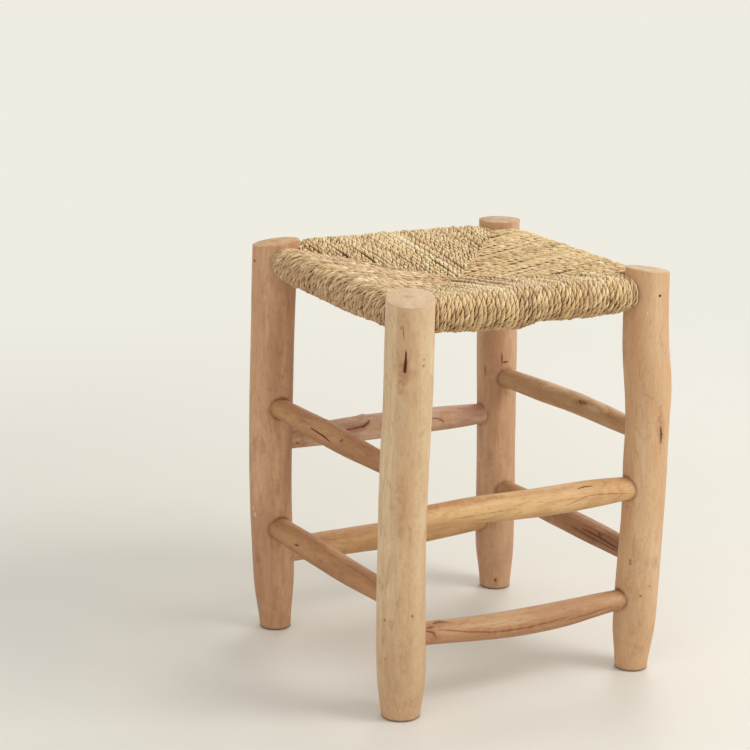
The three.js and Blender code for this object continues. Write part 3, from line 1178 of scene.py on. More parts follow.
@dataclass
class Rung(Pole):
    """A rung between two legs, thinner towards its ends, which sit in blind bores.

    Attributes:
        legs: The leg that it starts from and the leg that it ends in.
        heights: The heights of its two ends, mm.
        bows: How far its middle rises at each station, in radii.
    """

    legs: tuple[Leg, ...] = ()
    heights: tuple[float, float] = (0.0, 0.0)
    bows: tuple[float, ...] = (0.0,) * 7

    STATIONS: ClassVar[tuple[float, ...]] = (0, 0.12, 0.3, 0.5, 0.7, 0.88, 1)

    def ends(self) -> tuple[Vector, Vector]:
        """The rung's ends on the two legs' middle lines, mm."""
        return tuple(leg.middle_at(height) for leg, height in zip(self.legs, self.heights))

    def length(self) -> float:
        """How long the rung is between the two legs' middle lines, mm."""
        start, end = self.ends()
        return (end - start).length

    def shoulders(self) -> tuple[float, float]:
        """How far along its line the rung leaves each leg, mm."""
        first, last = (leg.radius_at(height) + SHOULDER_GAP
                       for leg, height in zip(self.legs, self.heights))
        return first, self.length() - last

    def across(self, angle: float) -> Vector:
        """Turns from level towards up, square to the rung.

        Args:
            angle: How far to turn, in degrees.

        Returns:
            The way out at that angle.
        """
        run = self.direction()
        level = -Z_AXIS.cross(run).normalized()
        turn = math.radians(angle)
        return level * math.cos(turn) + run.cross(-level) * math.sin(turn)

    def station(self, distance: float) -> float:
        """The share of the way from shoulder to shoulder."""
        first, last = self.shoulders()
        return (distance - first) / (last - first)

    def middle_at(self, distance: float) -> Vector:
        """The rung's middle at a distance along its line, mm."""
        rise = self.shaped(self.bows, distance)
        return self.ends()[0] + self.direction() * distance + Z_AXIS * rise

    def stops(self) -> tuple[float, ...]:
        """Works out where the rings lie, from inside one leg to inside the other.

        Returns:
            Their distances along the rung, mm.
        """
        first, last = self.shoulders()
        between = (first + share * (last - first) for share in self.STATIONS)
        return (-RUNG_PAST_AXIS, RUNG_NECK, *between, self.length() - RUNG_NECK,
                self.length() + RUNG_PAST_AXIS)

    def bore(self, end: int, room: float = 0.25, lift: float = 0.1) -> Bore:
        """Makes the cutter for one of the rung's ends.

        Args:
            end: 0 for the end that it starts from, 1 for the other.
            room: How much wider than the rung the bore is, mm.
            lift: How far above the rung the bore's middle is, mm.

        Returns:
            The cutter.
        """
        inner, outer = (
            self.ends()[0] + self.direction() * (self.length() - stop if end else stop)
            + Z_AXIS * lift for stop in (-RUNG_PAST_AXIS - BORE_PAST_RUNG, BORE_REACH))
        return inner, outer, self.radius_at(self.shoulders()[end]) + room


@dataclass(frozen=True)
class Side:
    """One side of the stool, between two legs.

    Attributes:
        legs: The leg that its poles start from and the leg that they end in.
        along: The way from the first leg to the second.
        outward: The way out from the seat's middle.
        heights: The seat rail's heights at the two legs, mm.
        reaches: How far the rail goes past the two legs' middle lines, mm.
        seed: Sets the rail's pattern.
    """

    legs: tuple[Leg, Leg]
    along: Vector
    outward: Vector
    heights: tuple[float, float]
    reaches: tuple[float, float]
    seed: float

    def ends(self) -> tuple[Vector, Vector]:
        """Where the rail meets the two legs' middle lines, mm."""
        return tuple(leg.middle_at(height) for leg, height in zip(self.legs, self.heights))

    def rail_at(self, place: float) -> Vector:
        """The rail's middle at a place along the side, mm."""
        start, end = self.ends()
        return start.lerp(end, (place + HALF) / (2.0 * HALF))


RAIL_RADIUS = 13.7      # mm


@dataclass
class Carcass:
    """The legs, rungs, rails and nails.

    Attributes:
        legs: The legs.
        rungs: The rungs.
        sides: The four sides by their name.
        rail_bore: The radius of a rail's mortise, mm.
        rail_room: How much deeper than the tenon that mortise is, mm.
        nail_bore: The radius of a nail's hole, mm.
        nail_hole: How far the hole goes in from the nail's head, and out past it, mm.
    """

    legs: list[Leg]
    rungs: list[Rung]
    sides: dict[str, Side]
    rail_bore: float = 9.9
    rail_room: float = 0.6
    nail_bore: float = 1.55
    nail_hole: tuple[float, float] = (1.2, 12.0)

    def bore_legs(self) -> None:
        """Marks out in each leg the bores for what goes into it."""
        for rung in self.rungs:
            for end, leg in enumerate(rung.legs):
                leg.mortises.append(rung.bore(end))
        for side in self.sides.values():
            (start, first), (end, last) = zip(side.legs, side.ends())
            run = (last - first).normalized()
            for leg, place, inward, reach in ((start, first, run, side.reaches[0]),
                                              (end, last, -run, side.reaches[1])):
                leg.bores.append((place - inward * (reach + self.rail_room),
                                  place + inward * BORE_REACH, self.rail_bore))
        for name, side in self.sides.items():
            low, high = (Vector(corner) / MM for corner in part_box(f"nail_{name}"))
            middle = (low + high) * 0.5
            head = high if (high - low).dot(side.outward) > 0 else low
            tip = middle + side.outward * (head.dot(side.outward) - middle.dot(side.outward))
            side.legs[1].bores.append((tip - side.outward * self.nail_hole[0],
                                       tip + side.outward * self.nail_hole[1], self.nail_bore))

    def build(self) -> None:
        """Makes every leg and rung."""
        self.bore_legs()
        for pole in (*self.legs, *self.rungs):
            pole.build()

    def dress_nodes(self) -> None:
        """Finishes the rails and the nails, which keep the frame's own meshes."""
        iron = Iron().material()
        colours = palette((214, 176, 128), (200, 158, 110), (156, 112, 72), (184, 138, 94))
        for name, side in self.sides.items():
            rail = Rung(
                f"rail_{name}", f"rail_{name}", "rail_wood",
                Wood(f"wood_rail_{name}", *colours, side.seed, 0.5, 0.6), radius=RAIL_RADIUS,
                girths=(1.0,) * 7, legs=side.legs, heights=side.heights)
            for node, material in ((rail.node, rail.wood.material(rail)), (f"nail_{name}", iron)):
                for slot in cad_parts[node].material_slots:
                    slot.material = material
                log.info("%s: frame node dressed", node)


# The seat

RAIL_ROOM = 0.3         # between a rail and the cord round it, mm
CORD_RADIUS = 2.6
FULLNESS = (0.95, 1.16)  # a cord's share of its usual radius on the open field and on the roll
CORDS = 48
OUTERMOST = 121.9       # from a side's middle to its outermost cord's middle, mm
WIDER_GAPS = (0.24, 0.6)    # the share of gaps that are wider, and by how much of a cord
PULLED = (0.32, 3.4)    # how much thinner the last cord of a roll is, and how many cords follow
CORNER_TOP = 447.0      # the seat's height at its corners, mm
SINK = 20.0             # how much lower its middle is, mm
CORNER_THICK, CENTRE_THICK = 36.0, 21.0
MITRE_BEND = 3.6        # the radius in which a cord turns at the diagonals, mm
ABOVE, BELOW = (-80.0, 90.0, 6), (90.0, -70.0, 5)   # those turns' angles and points
ROUND_RAIL = (98.0, -96.0, 17)      # the same for the turn round the rail
SAG_SHARE = 2.2         # how much the slack gathers under the rail
LEG_ZONE = 70.0         # how far along a side the cords begin to move in from the legs, mm
LAP = {True: 1.6, False: -0.4}      # how far past the diagonal an over and an under cord goes
LAY = 17.0              # one full turn of the two leaf strands, mm
STEP = LAY / 8.0
STRAND_THICK, STRAND_WIDE = 0.51, 0.68      # half a strand's size, in the cord's radii
# Round a strand's section, from its outermost point: two bundles of leaf with a groove between
STRAND_TURNS = np.radians((0.0, 30.0, 60.0, 95.0, 145.0, 215.0, 265.0, 300.0, 330.0))
STRAND_SIDES = len(STRAND_TURNS)


def run_of(points: np.ndarray) -> np.ndarray:
    """How far along a line each of its points lies."""
    return np.concatenate(([0.0], np.cumsum(np.linalg.norm(np.diff(points, axis=0), axis=1))))


def unit(rows: np.ndarray) -> np.ndarray:
    """Rows brought to length 1."""
    return rows / np.linalg.norm(rows, axis=1)[:, None]


def square_to(rows: np.ndarray, ahead: np.ndarray) -> np.ndarray:
    """Rows turned square to others, with length 1."""
    return unit(rows - (rows * ahead).sum(1)[:, None] * ahead)


def wander(rng: np.random.Generator, at: np.ndarray, length: float, size: float) -> np.ndarray:
    """A smooth random wander along a cord."""
    knots = np.arange(0.0, at[-1] + 2.0 * length, length)
    return np.interp(at, knots, rng.normal(0.0, size, len(knots)))


@dataclass
class Lie:
    """How one cord lies, in rows along its middle line.

    Attributes:
        points: The middle line, mm.
        normals: The way that the field faces; they are turned square to the cord.
        on_roll: How far each point is on the roll, from 0 to 1.
        girth: The cord's thickness, as a share of the usual.
        mood: How light the cord is, from 0 to 1.
        kin: Its hue, from yellow-green below 0 to pinkish brown above.
        gone: How far along the cord each point lies, mm.
    """

    points: np.ndarray
    normals: np.ndarray
    on_roll: np.ndarray
    girth: np.ndarray
    mood: np.ndarray
    kin: np.ndarray
    gone: np.ndarray = field(init=False)

    def __post_init__(self) -> None:
        """Works out the run, and squares the normals to it."""
        self.gone = run_of(self.points)
        self.normals = square_to(self.normals, unit(np.gradient(self.points, axis=0)))


class Strands:
    """Collects leaf strands as tubes, each with its own attributes."""

    def __init__(self, vivid: float, rng: np.random.Generator) -> None:
        """Starts with no strands.

        Args:
            vivid: How much they differ, against the usual.
            rng: The field's random numbers.
        """
        self.vivid = vivid
        self.rng = rng
        self.count = 0
        self.points: list[np.ndarray] = []
        self.faces: list[list[int]] = []
        # 'open' holds the mask for the cord's painted shade and painted highlight.
        self.rows: dict[str, list[np.ndarray]] = {"leaf": [], "tone": [], "kin": [], "open": []}

    def twist(self, lie: Lie) -> None:
        """Twists two strands round a cord's middle line.

        Args:
            lie: How the cord lies.
        """
        knots = np.arange(0.0, lie.gone[-1] + 50.0, 25.0)
        uneven, pace = (np.interp(lie.gone, knots, self.rng.normal(1.0, spread, len(knots)))
                        for spread in (0.05, 0.16))
        radius = CORD_RADIUS * lie.girth * uneven
        angle = self.rng.uniform(0.0, FULL_TURN) + np.concatenate(
            ([0.0], np.cumsum(np.diff(lie.gone) * FULL_TURN / LAY * pace[1:])))
        for strand in range(2):
            turn = angle + math.pi * strand + wander(self.rng, lie.gone, 9.0, 0.2)
            swell = 1.0 + wander(self.rng, lie.gone, 6.0, 0.13)
            tone = lie.mood + self.vivid * self.rng.normal(0.0, 0.18)
            kin = self.vivid * (lie.kin + self.rng.normal(0.0, 0.2))
            self.tube(lie, radius, turn, swell, tone, kin)

    def tube(self, lie: Lie, radius: np.ndarray, turn: np.ndarray, swell: np.ndarray,
             tone: np.ndarray, kin: np.ndarray) -> None:
        """Adds one strand as a closed tube: two bundles of leaf side by side.

        Args:
            lie: How the cord lies.
            radius: The cord's radius, mm.
            turn: The angle at which the strand lies round the cord.
            swell: How thick the strand is, as a share of the usual.
            tone: How light it is, from 0 to 1.
            kin: Its hue, from yellow-green below 0 to pinkish brown above.
        """
        across = np.cross(unit(np.gradient(lie.points, axis=0)), lie.normals)
        spoke = np.cos(turn)[:, None] * lie.normals + np.sin(turn)[:, None] * across
        high, wide = radius * STRAND_THICK * swell, radius * STRAND_WIDE * swell
        middle = lie.points + spoke * (radius - high)[:, None]
        ahead = unit(np.gradient(middle, axis=0))
        spoke = square_to(spoke, ahead)
        beside = np.cross(ahead, spoke)
        seam = wander(self.rng, lie.gone, 14.0, 0.4)
        from_seam = (STRAND_TURNS[None, :] - seam[:, None] + math.pi) % FULL_TURN - math.pi
        groove = np.exp(-(from_seam / 0.38) ** 2)
        section = 1.06 - 0.26 * groove
        up = np.cos(STRAND_TURNS)[None, :] * section * high[:, None]
        side = np.sin(STRAND_TURNS)[None, :] * section * wide[:, None]
        ring = (middle[:, None, :] + up[:, :, None] * spoke[:, None, :]
                + side[:, :, None] * beside[:, None, :])
        offset = self.rng.uniform(0.0, 40.0)
        own = STRAND_TURNS[None, :] + lie.gone[:, None] * 0.12
        leaf = np.stack(np.broadcast_arrays(lie.gone[:, None] * MM + offset,
                                            np.cos(own) + offset * 3.0, np.sin(own)), axis=2)
        bundle = np.tanh(from_seam / 0.3)

        def mottled(base: np.ndarray, split: tuple[float, float],
                    whole: tuple[float, float]) -> np.ndarray:
            """A value that wanders apart in the two bundles and together in both."""
            apart, together = (wander(self.rng, lie.gone, length, size * self.vivid)[:, None]
                               for length, size in (split, whole))
            return base[:, None] + apart * bundle + together

        # How exposed each point is, kept as 'open': painted shade in the creases and between the
        # cords, painted highlight on the ridges; the roll gets less painted shade.
        raised = (((ring - lie.points[:, None, :]) * lie.normals[:, None, :]).sum(2)
                  / radius[:, None] + 0.38 * lie.on_roll[:, None] - 0.1)
        ridge = np.clip(np.cos(STRAND_TURNS) + 0.7, 0.0, 1.0)[None, :] * (1.0 - 0.7 * groove)
        shown = np.clip((raised + 0.1) / 0.65, 0.0, 1.0) * (0.5 + 0.5 * ridge)
        for key, rows in (("leaf", leaf), ("tone", mottled(tone, (24.0, 0.2), (20.0, 0.18))),
                          ("kin", mottled(kin, (26.0, 0.26), (22.0, 0.36))), ("open", shown)):
            self.rows[key].append(rows.reshape(-1))
        self.close(ring)

    def close(self, ring: np.ndarray) -> None:
        """Joins a strand's rings into a tube with a cap at each end.

        Args:
            ring: The points, by ring and by place round it, mm.
        """
        count = len(ring)
        here = np.arange(STRAND_SIDES)
        after = (here + 1) % STRAND_SIDES
        rows = np.arange(count - 1)[:, None] * STRAND_SIDES + self.count
        quads = np.stack([rows + here, rows + after, rows + STRAND_SIDES + after,
                          rows + STRAND_SIDES + here], axis=2).reshape(-1, 4)
        caps = here[::-1] + self.count, here + (count - 1) * STRAND_SIDES + self.count
        self.faces.extend(quads.tolist())
        self.faces.extend(cap.tolist() for cap in caps)
        self.points.append(ring.reshape(-1, 3) * MM)
        self.count += count * STRAND_SIDES

    def piece(self, name: str) -> bpy.types.Object:
        """Makes one piece of all the strands.

        Args:
            name: Its name.

        Returns:
            The piece.
        """
        mesh = bpy.data.meshes.new(name)
        mesh.from_pydata(np.concatenate(self.points).tolist(), [], self.faces)
        for key, rows in self.rows.items():
            kind, part = ("FLOAT_VECTOR", "vector") if key == "leaf" else ("FLOAT", "value")
            values = np.concatenate(rows).astype(np.float32)
            mesh.attributes.new(key, kind, "POINT").data.foreach_set(part, values)
        mesh.shade_smooth()
        return linked(mesh)


@dataclass
class Field:
    """One of the seat's four fields of cords, from the seat's middle over a rail and back below.

    Attributes:
        name: The side that it belongs to.
        side: That side.
        cord: The finish.
        seed: Sets this field's own unevenness.
        sags: Looser places of the roll, as (place, spread, depth) in mm.
        over: Whether this field's cords lie over the next field's at the diagonals.
        vivid: How much the cords differ in tone and hue, against the usual.
        hue: Where their hues centre, from yellow-green below 0 to pinkish brown above.
        light: How much lighter the field is than the usual.
        roll: How much lighter and pinker the cords are where the roll faces sideways; the
            lightness, below 0 on every side, is painted shade on the roll's sideways faces.
    """

    name: str
    side: Side
    cord: PalmCord
    seed: int
    sags: tuple[tuple[float, float, float], ...] = ()
    over: bool = False
    vivid: float = 1.0
    hue: float = 0.0
    light: float = 0.0
    roll: tuple[float, float] = (0.0, 0.0)

    @staticmethod
    def places(rng: np.random.Generator) -> tuple[np.ndarray, ...]:
        """Works out where each cord lies along the side, and how thick it is.

        Args:
            rng: The field's random numbers.

        Returns:
            The place on the open field, where some gaps are wider, and on the roll, where the
            cords press together, mm; then each cord's thickness as a share of the usual, and
            the share of that which it keeps on the roll, where the cords by the legs are
            pulled tight.
        """
        from_end = np.minimum(np.arange(CORDS), np.arange(CORDS)[::-1])
        thick = np.clip(rng.normal(1.0, 0.07, CORDS), 0.86, 1.14)
        tight = 1.0 - PULLED[0] * np.exp(-(from_end / PULLED[1]) ** 2)
        apart, pressed = (0.5 * (wide[1:] + wide[:-1]) for wide in (thick, thick * tight))
        apart += np.where(rng.random(CORDS - 1) < WIDER_GAPS[0], WIDER_GAPS[1], 0.0)
        spots = [np.concatenate(([0.0], np.cumsum(gaps))) for gaps in (apart, pressed)]
        spread = [(spot / spot[-1] * 2.0 - 1.0) * OUTERMOST for spot in spots]
        return *spread, thick, tight

    def squeezed(self, place: float, point: Vector) -> float:
        """Works out how far a cord moves in from a leg that it would run into.

        Args:
            place: Where the cord lies along the side, mm.
            point: A point of it, mm.

        Returns:
            The distance, mm.
        """
        leg = self.side.legs[0 if place < 0 else 1]
        centre = leg.middle_at(point.z)
        reach = leg.radius_at(point.z) + CORD_RADIUS * 0.75
        depth = abs((point - centre).dot(self.side.outward))
        if depth >= reach:
            return 0.0
        room = abs(centre.dot(self.side.along)) - math.sqrt(reach ** 2 - depth ** 2)
        share = np.clip((abs(place) - LEG_ZONE) / (OUTERMOST - LEG_ZONE), 0.0, 1.0) ** 1.6
        return float(max(0.0, OUTERMOST - room) * share)

    def profile(self, place: float, thick: float,
                rng: np.random.Generator) -> tuple[np.ndarray, np.ndarray, np.ndarray]:
        """Draws a cord in the upright plane across the side.

        Args:
            place: Where the cord lies along the side, mm.
            thick: Its thickness on the roll as a share of the usual.
            rng: The field's random numbers.

        Returns:
            Its points, evenly spaced, as (distance outward, height) in mm; how far along the
            cord each one lies, mm; and how far each is on the roll, from 0 to 1.
        """
        share = abs(place) / HALF
        rail = self.side.rail_at(place)
        reach = (rail - SHIFT).dot(self.side.outward)
        top = CORNER_TOP - SINK * (1.0 - share) - CORD_RADIUS
        low = top + 2.0 * CORD_RADIUS - (CENTRE_THICK + (CORNER_THICK - CENTRE_THICK) * share)
        radius = RAIL_RADIUS + RAIL_ROOM + CORD_RADIUS * thick
        slack = rng.uniform(0.0, 1.1) + sum(
            depth * math.exp(-((place - spot) / spread) ** 2) for spot, spread, depth in self.sags)
        lift = rng.normal(0.0, 0.55)
        inner = abs(place) - LAP[self.over]

        def turned(angles: np.ndarray, outermost: float, up: float) -> np.ndarray:
            """The cord's turn at the diagonal, with the angles in degrees and up 1 or -1."""
            bend = np.radians(angles)
            return np.stack([inner + MITRE_BEND * (1.0 - np.cos(bend)) - 1.0,
                             outermost - up * MITRE_BEND * (1.0 - np.sin(bend))], axis=1)

        above = turned(np.linspace(*ABOVE), top, 1.0) + (0.0, lift)
        above[-1, 0] += 0.4
        bend = np.radians(np.linspace(*ROUND_RAIL))
        hang = radius + slack * np.maximum(0.0, -np.sin(bend)) ** SAG_SHARE
        roll = np.stack([reach + hang * np.cos(bend), rail.z + hang * np.sin(bend)], axis=1)
        shape = np.concatenate([above, roll, turned(np.linspace(*BELOW), low, -1.0)])
        run = run_of(shape)
        at = np.linspace(0.0, run[-1], max(8, int(run[-1] / STEP)) + 1)
        path = np.stack([np.interp(at, run, shape[:, axis]) for axis in range(2)], axis=1)
        on_roll = np.clip((path[:, 0] - inner) / max(1.0, reach - inner) * 1.6 - 0.5, 0.0, 1.0)
        return path, at, on_roll

    def route(self, place: float, pressed: float, thick: float,
              rng: np.random.Generator) -> tuple[np.ndarray, np.ndarray, np.ndarray]:
        """Lays one cord over the rail.

        Args:
            place: Where the cord lies along the side, mm.
            pressed: Where it lies on the roll, mm.
            thick: Its thickness on the roll as a share of the usual.
            rng: The field's random numbers.

        Returns:
            The points of its middle line, mm, and the way that the field faces there, one row
            each, and how far each point is on the roll, from 0 to 1.
        """
        path, at, on_roll = self.profile(place, thick, rng)
        aside = wander(rng, at, 20.0, 0.26) + (pressed - place) * on_roll
        rise = wander(rng, at, 26.0, 0.4)
        heading = unit(np.gradient(path, axis=0))
        facing = np.stack([-heading[:, 1], heading[:, 0]], axis=1)
        path = path + facing * rise[:, None]
        along, outward, up = (np.array(way) for way in (self.side.along, self.side.outward, Z_AXIS))
        points = np.zeros((len(path), 3))
        for i, (out, height) in enumerate(path):
            line = np.array(SHIFT) + outward * out + up * height
            inward = self.squeezed(place, Vector(line + along * place))
            points[i] = line + along * (place - math.copysign(inward, place) + aside[i])
        return points, facing[:, :1] * outward + facing[:, 1:] * up, on_roll

    def build(self) -> bpy.types.Object:
        """Makes the field of twisted cords.

        Returns:
            The dressed piece.
        """
        rng = np.random.default_rng(self.seed)
        strands = Strands(self.vivid, rng)
        mood, kin = 0.5, 0.0
        for place, pressed, thick, tight in zip(*self.places(rng)):
            points, normals, on_roll = self.route(
                float(place), float(pressed), thick * tight, rng)
            full = FULLNESS[0] + (FULLNESS[1] * tight - FULLNESS[0]) * on_roll
            # How far the field faces sideways; it sets the painted shade on the roll's sides and
            # their pinker hue.
            aside = np.clip((0.85 - normals[:, 2]) / 0.85, 0.0, 1.0)
            mood = 0.4 * mood + 0.6 * rng.uniform(0.12, 0.88)
            kin = 0.5 * kin + rng.normal(0.0, 0.2)
            strands.twist(Lie(points, normals, on_roll, full * thick,
                              mood + self.light + self.roll[0] * aside,
                              kin + self.hue + self.roll[1] * aside))
        piece = strands.piece(f"seat_field_{self.name}")
        dress(piece, self.cord.material(), "seat_cord")
        return piece


@dataclass
class Core:
    """The inner windings between the cords above and below, seen dark through the gaps.

    Attributes:
        sides: The four sides.
        name: The piece's name.
        edge: How far out from the seat's middle it goes, mm.
        under: How far below the cords' tops it lies, mm.
        shallower: How much less that is in the corners, mm.
        corner: Where along a side the corners begin, and over what distance, mm.
        columns: In how many places along a side its section is drawn.
    """

    sides: list[Side]
    name: str = "seat_inner_windings"
    edge: float = 130.0
    under: float = 4.6
    shallower: float = 3.2
    corner: tuple[float, float] = (104.0, 20.0)
    columns: int = 11

    def build(self) -> bpy.types.Object:
        """Makes one closed body of four wedges that meet on the diagonals.

        Returns:
            The dressed piece.
        """
        points: list[Vector] = []
        faces: list[list[int]] = []
        for side in self.sides:
            first, last = len(points), len(points) + (self.columns - 1) * 4
            for place in np.linspace(1.5 - self.edge, self.edge - 1.5, self.columns):
                points.extend(self.column(side, float(place)))
            faces += [[a, a + 1, a + 5, a + 4] for start in range(first, last, 4)
                      for a in range(start, start + 3)]
            faces += [[start + row for row in range(4)] for start in (first, last)]
        mesh = bpy.data.meshes.new(self.name)
        mesh.from_pydata([point * MM for point in points], [], faces)
        made = linked(mesh)
        with editing(made):
            bpy.ops.mesh.remove_doubles(threshold=0.0001)
            bpy.ops.mesh.normals_make_consistent(inside=False)
        dress(made, Husk().material(), "seat_cord")
        return made

    def column(self, side: Side, place: float) -> list[Vector]:
        """Draws the body's section at one place along a side.

        Args:
            side: The side.
            place: The place, mm.

        Returns:
            Its four corners, mm.
        """
        share = abs(place) / HALF
        top = CORNER_TOP - SINK * (1.0 - share)
        low = top - CENTRE_THICK - (CORNER_THICK - CENTRE_THICK) * share
        rail = side.rail_at(place)
        round_rail = RAIL_RADIUS + RAIL_ROOM + 2.0 * CORD_RADIUS
        inside = (self.edge - abs(place)) / (rail.dot(side.outward) - abs(place))
        in_corner = min(1.0, max(0.0, (abs(place) - self.corner[0]) / self.corner[1]))
        under = self.under - self.shallower * in_corner
        edge_top = top + (rail.z + round_rail - top) * inside
        edge_low = low + (rail.z - round_rail - low) * inside
        return [SHIFT + side.along * place + side.outward * out + Z_AXIS * up
                for out, up in ((abs(place), top - under), (self.edge, edge_top - under),
                                (self.edge, edge_low + under), (abs(place), low + under))]


# The stool's pieces


def legs() -> dict[str, Leg]:
    """Lists the four legs.

    Returns:
        The legs by their place.
    """
    table = {
        "front": (
            ((223, 197, 159), (208, 176, 136), (168, 126, 88), (202, 160, 121), (203, 172, 135)),
            (1.3, 0.55, 0.4), (
                Mark(STAIN, ((385, -130), (374, -133), (358, -140)), 5.6, 0.9, 1.8, (0.8, 1, 0.4)),
                Mark(STAIN, ((402, -127), (384, -128)), 2.6, 0.6),
                Mark(STAIN, ((385, -146),), 3.4, 0.6),
                Mark(STAIN, ((378, -112),), 3.4, 0.5),
                Mark(SLIT, ((400.5, -127.5), (390, -128), (380.1, -130)), 2.2, 1, 1.9,
                     (0.3, 0.75, 1)),
                # A long pale stripe of painted highlight down the front leg's lit right side.
                Mark(FADE, ((444, -80), (240, -78), (34, -78)), 7, 0.8, 1.8, (1, 1, 1)),
                Mark(CRACK, ((425.8, -136), (412.5, -133)), 0.7, 0.7),
                Mark(CRACK, ((424.6, -140),), 0.8, 0.9),
                Mark(STAIN, ((438, -139), (424, -138)), 4, 0.35),
                Mark(STAIN, ((355, -118), (350, -105)), 5, 0.25),
                Mark(STAIN, ((270, -128), (205, -124)), 5.5, 0.45),
                Mark(STAIN, ((90, -118), (60, -115)), 6, 0.45),
                Mark(CRACK, ((391.1, -84),), 0.9, 0.9),
                Mark(CRACK, ((385, -85),), 1, 0.9),
                Mark(CRACK, ((119, -92),), 1.1, 0.9),
                Mark(CRACK, ((113, -160),), 1.1, 0.7),
                Mark(CRACK, ((24, -92),), 0.9, 0.8),
                Mark(CRACK, ((70, -160),), 0.9, 0.6),
                Mark(CRACK, ((152, -168), (144, -169)), 0.7, 0.6),
                Mark(CRACK, ((94, -165), (86, -166)), 0.7, 0.6),
                Mark(PALE, ((22, -118), (8, -126)), 0.7, 0.6),
            ), dict(
                column=(-1, -1), radius=25.3, slope=(0.095, 0.17),
                girths=(.79, .88, .96, 1.02, 1.02, 1.02, .99, .99, 1, 1.01, 1, 1),
                sways=(-.06, -.06, -.055, -.05, -.09, -.115, -.11, -.1, -.04, .067, .075, .095))),
        "right": (
            ((220, 186, 146), (210, 170, 128), (174, 127, 88), (202, 155, 113), (180, 146, 98)),
            (5.1, 0.42, 0.3), (
                Mark(STAIN, ((305, -90), (282, -88), (258, -84)), 3, 0.9),
                Mark(KNOT, ((283, -88), (274, -86), (264, -85)), 2, 0.85, 2.4, (0.3, 1, 0.3)),
                Mark(CRACK, ((130.5, -150),), 0.9, 0.9),
                Mark(CRACK, ((127.1, -149),), 1.1),
                Mark(CRACK, ((90.4, -115),), 1.3),
                Mark(CRACK, ((101.1, -90),), 0.9, 0.7),
                Mark(CRACK, ((189.9, -174),), 0.9, 0.7),
                Mark(STAIN, ((370, 160), (352, 164)), 7, 0.45, 2),
                Mark(STAIN, ((150, -125), (50, -125)), 16, 0.3, 1.6),
                Mark(PALE, ((409.5, -122), (406.5, -121)), 0.8, 0.9),
            ), dict(
                column=(1, -1), radius=24.0, slope=(-0.135, -0.02), rise=0.5,
                girths=(.72, .775, .85, .965, .98, .99, .955, .985, 1.015, 1.075, 1.01, .98),
                sways=(-.05, -.045, -.01, .01, .05, .13, .225, .235, .215, .085, -.02, -.01),
                swells=((300, 150, 70, -2), (325, -29, 45, 1.7)))),
        "left": (
            ((212, 169, 131), (199, 152, 113), (156, 110, 76), (178, 129, 95), (191, 143, 84)),
            (9.7, 0.65, 0.35), (
                Mark(PALE, ((148.6, -170), (144, -173)), 0.9, 0.7),
                Mark(PALE, ((141.5, -166), (137, -165)), 1.6, 0.8),
                Mark(CRACK, ((219.7, 178),), 1.1, 0.5),
                Mark(CRACK, ((129.6, -146),), 0.9, 0.5),
                Mark(KNOT, ((84.7, -58),), 1.2, 0.6),
            ), dict(
                column=(-1, 1), radius=24.4, slope=(0.105, -0.1), rise=1.2,
                girths=(.7, .78, .81, .915, .975, .975, .98, .995, 1.01, 1, 1.005, 1.025),
                sways=(-.01, -.015, -.055, -.075, -.095, -.205, -.25, -.24, -.195, -.145, -.105,
                       -.03),
                swells=((449, -27, 12, 3),))),
        "back": (
            ((216, 178, 143), (200, 159, 123), (160, 116, 83), (189, 143, 108), (172, 128, 76)),
            (13.9, 0.65, 0.35), (
                Mark(CRACK, ((279, -156), (266.8, -156)), 1, 0.9),
                Mark(CRACK, ((296.1, -107), (279.7, -107)), 1.1),
                Mark(KNOT, ((283.5, -106), (284.5, -88)), 1.3, 0.85),
                Mark(STAIN, ((82.6, -128),), 2.4, 0.8),
                Mark(PALE, ((82.2, -128),), 1.1, 0.4),
                Mark(STAIN, ((13, -119), (5, -118)), 2.6, 0.9),
                Mark(SLIT, ((13.9, -119), (11, -119)), 2.3, 1, 1.5),
            ), dict(
                column=(1, 1), radius=23.2, slope=(-0.02, -0.03),
                girths=(.755, .8, .87, .985, 1, 1, .975, .995, 1.02, 1.025, 1.015, 1.005),
                sways=(.135, .135, .135, .085, .065, .06, .02, -.015, -.06, -.08, -.08, -.08))),
    }
    made = {}
    for name, (tones, (seed, blotch, grain), marks, form) in table.items():
        *skin, sawn = palette(*tones)
        wood = Wood(f"wood_leg_{name}", *skin, seed, blotch, grain, sawn)
        made[name] = Leg(f"leg_{name}_pole", f"leg_{name}", "leg_wood", wood, marks, **form)
    return made


def sides(stand: dict[str, Leg]) -> dict[str, Side]:
    """Lists the four sides.

    Args:
        stand: The legs by their place.

    Returns:
        The sides by their name.
    """
    past, short = 8.0, -11.7
    return {name: Side((stand[start], stand[end]), *rest) for name, start, end, *rest in (
        ("front", "front", "right", X_AXIS, -Y_AXIS, (430.0, 426.0), (past, past), 68.0),
        ("left", "front", "left", Y_AXIS, -X_AXIS, (430.0, 432.0), (short, past), 67.0),
        ("back", "left", "back", X_AXIS, Y_AXIS, (432.0, 426.0), (short, past), 69.0),
        ("right", "right", "back", Y_AXIS, X_AXIS, (426.0, 426.0), (short, short), 71.0))}


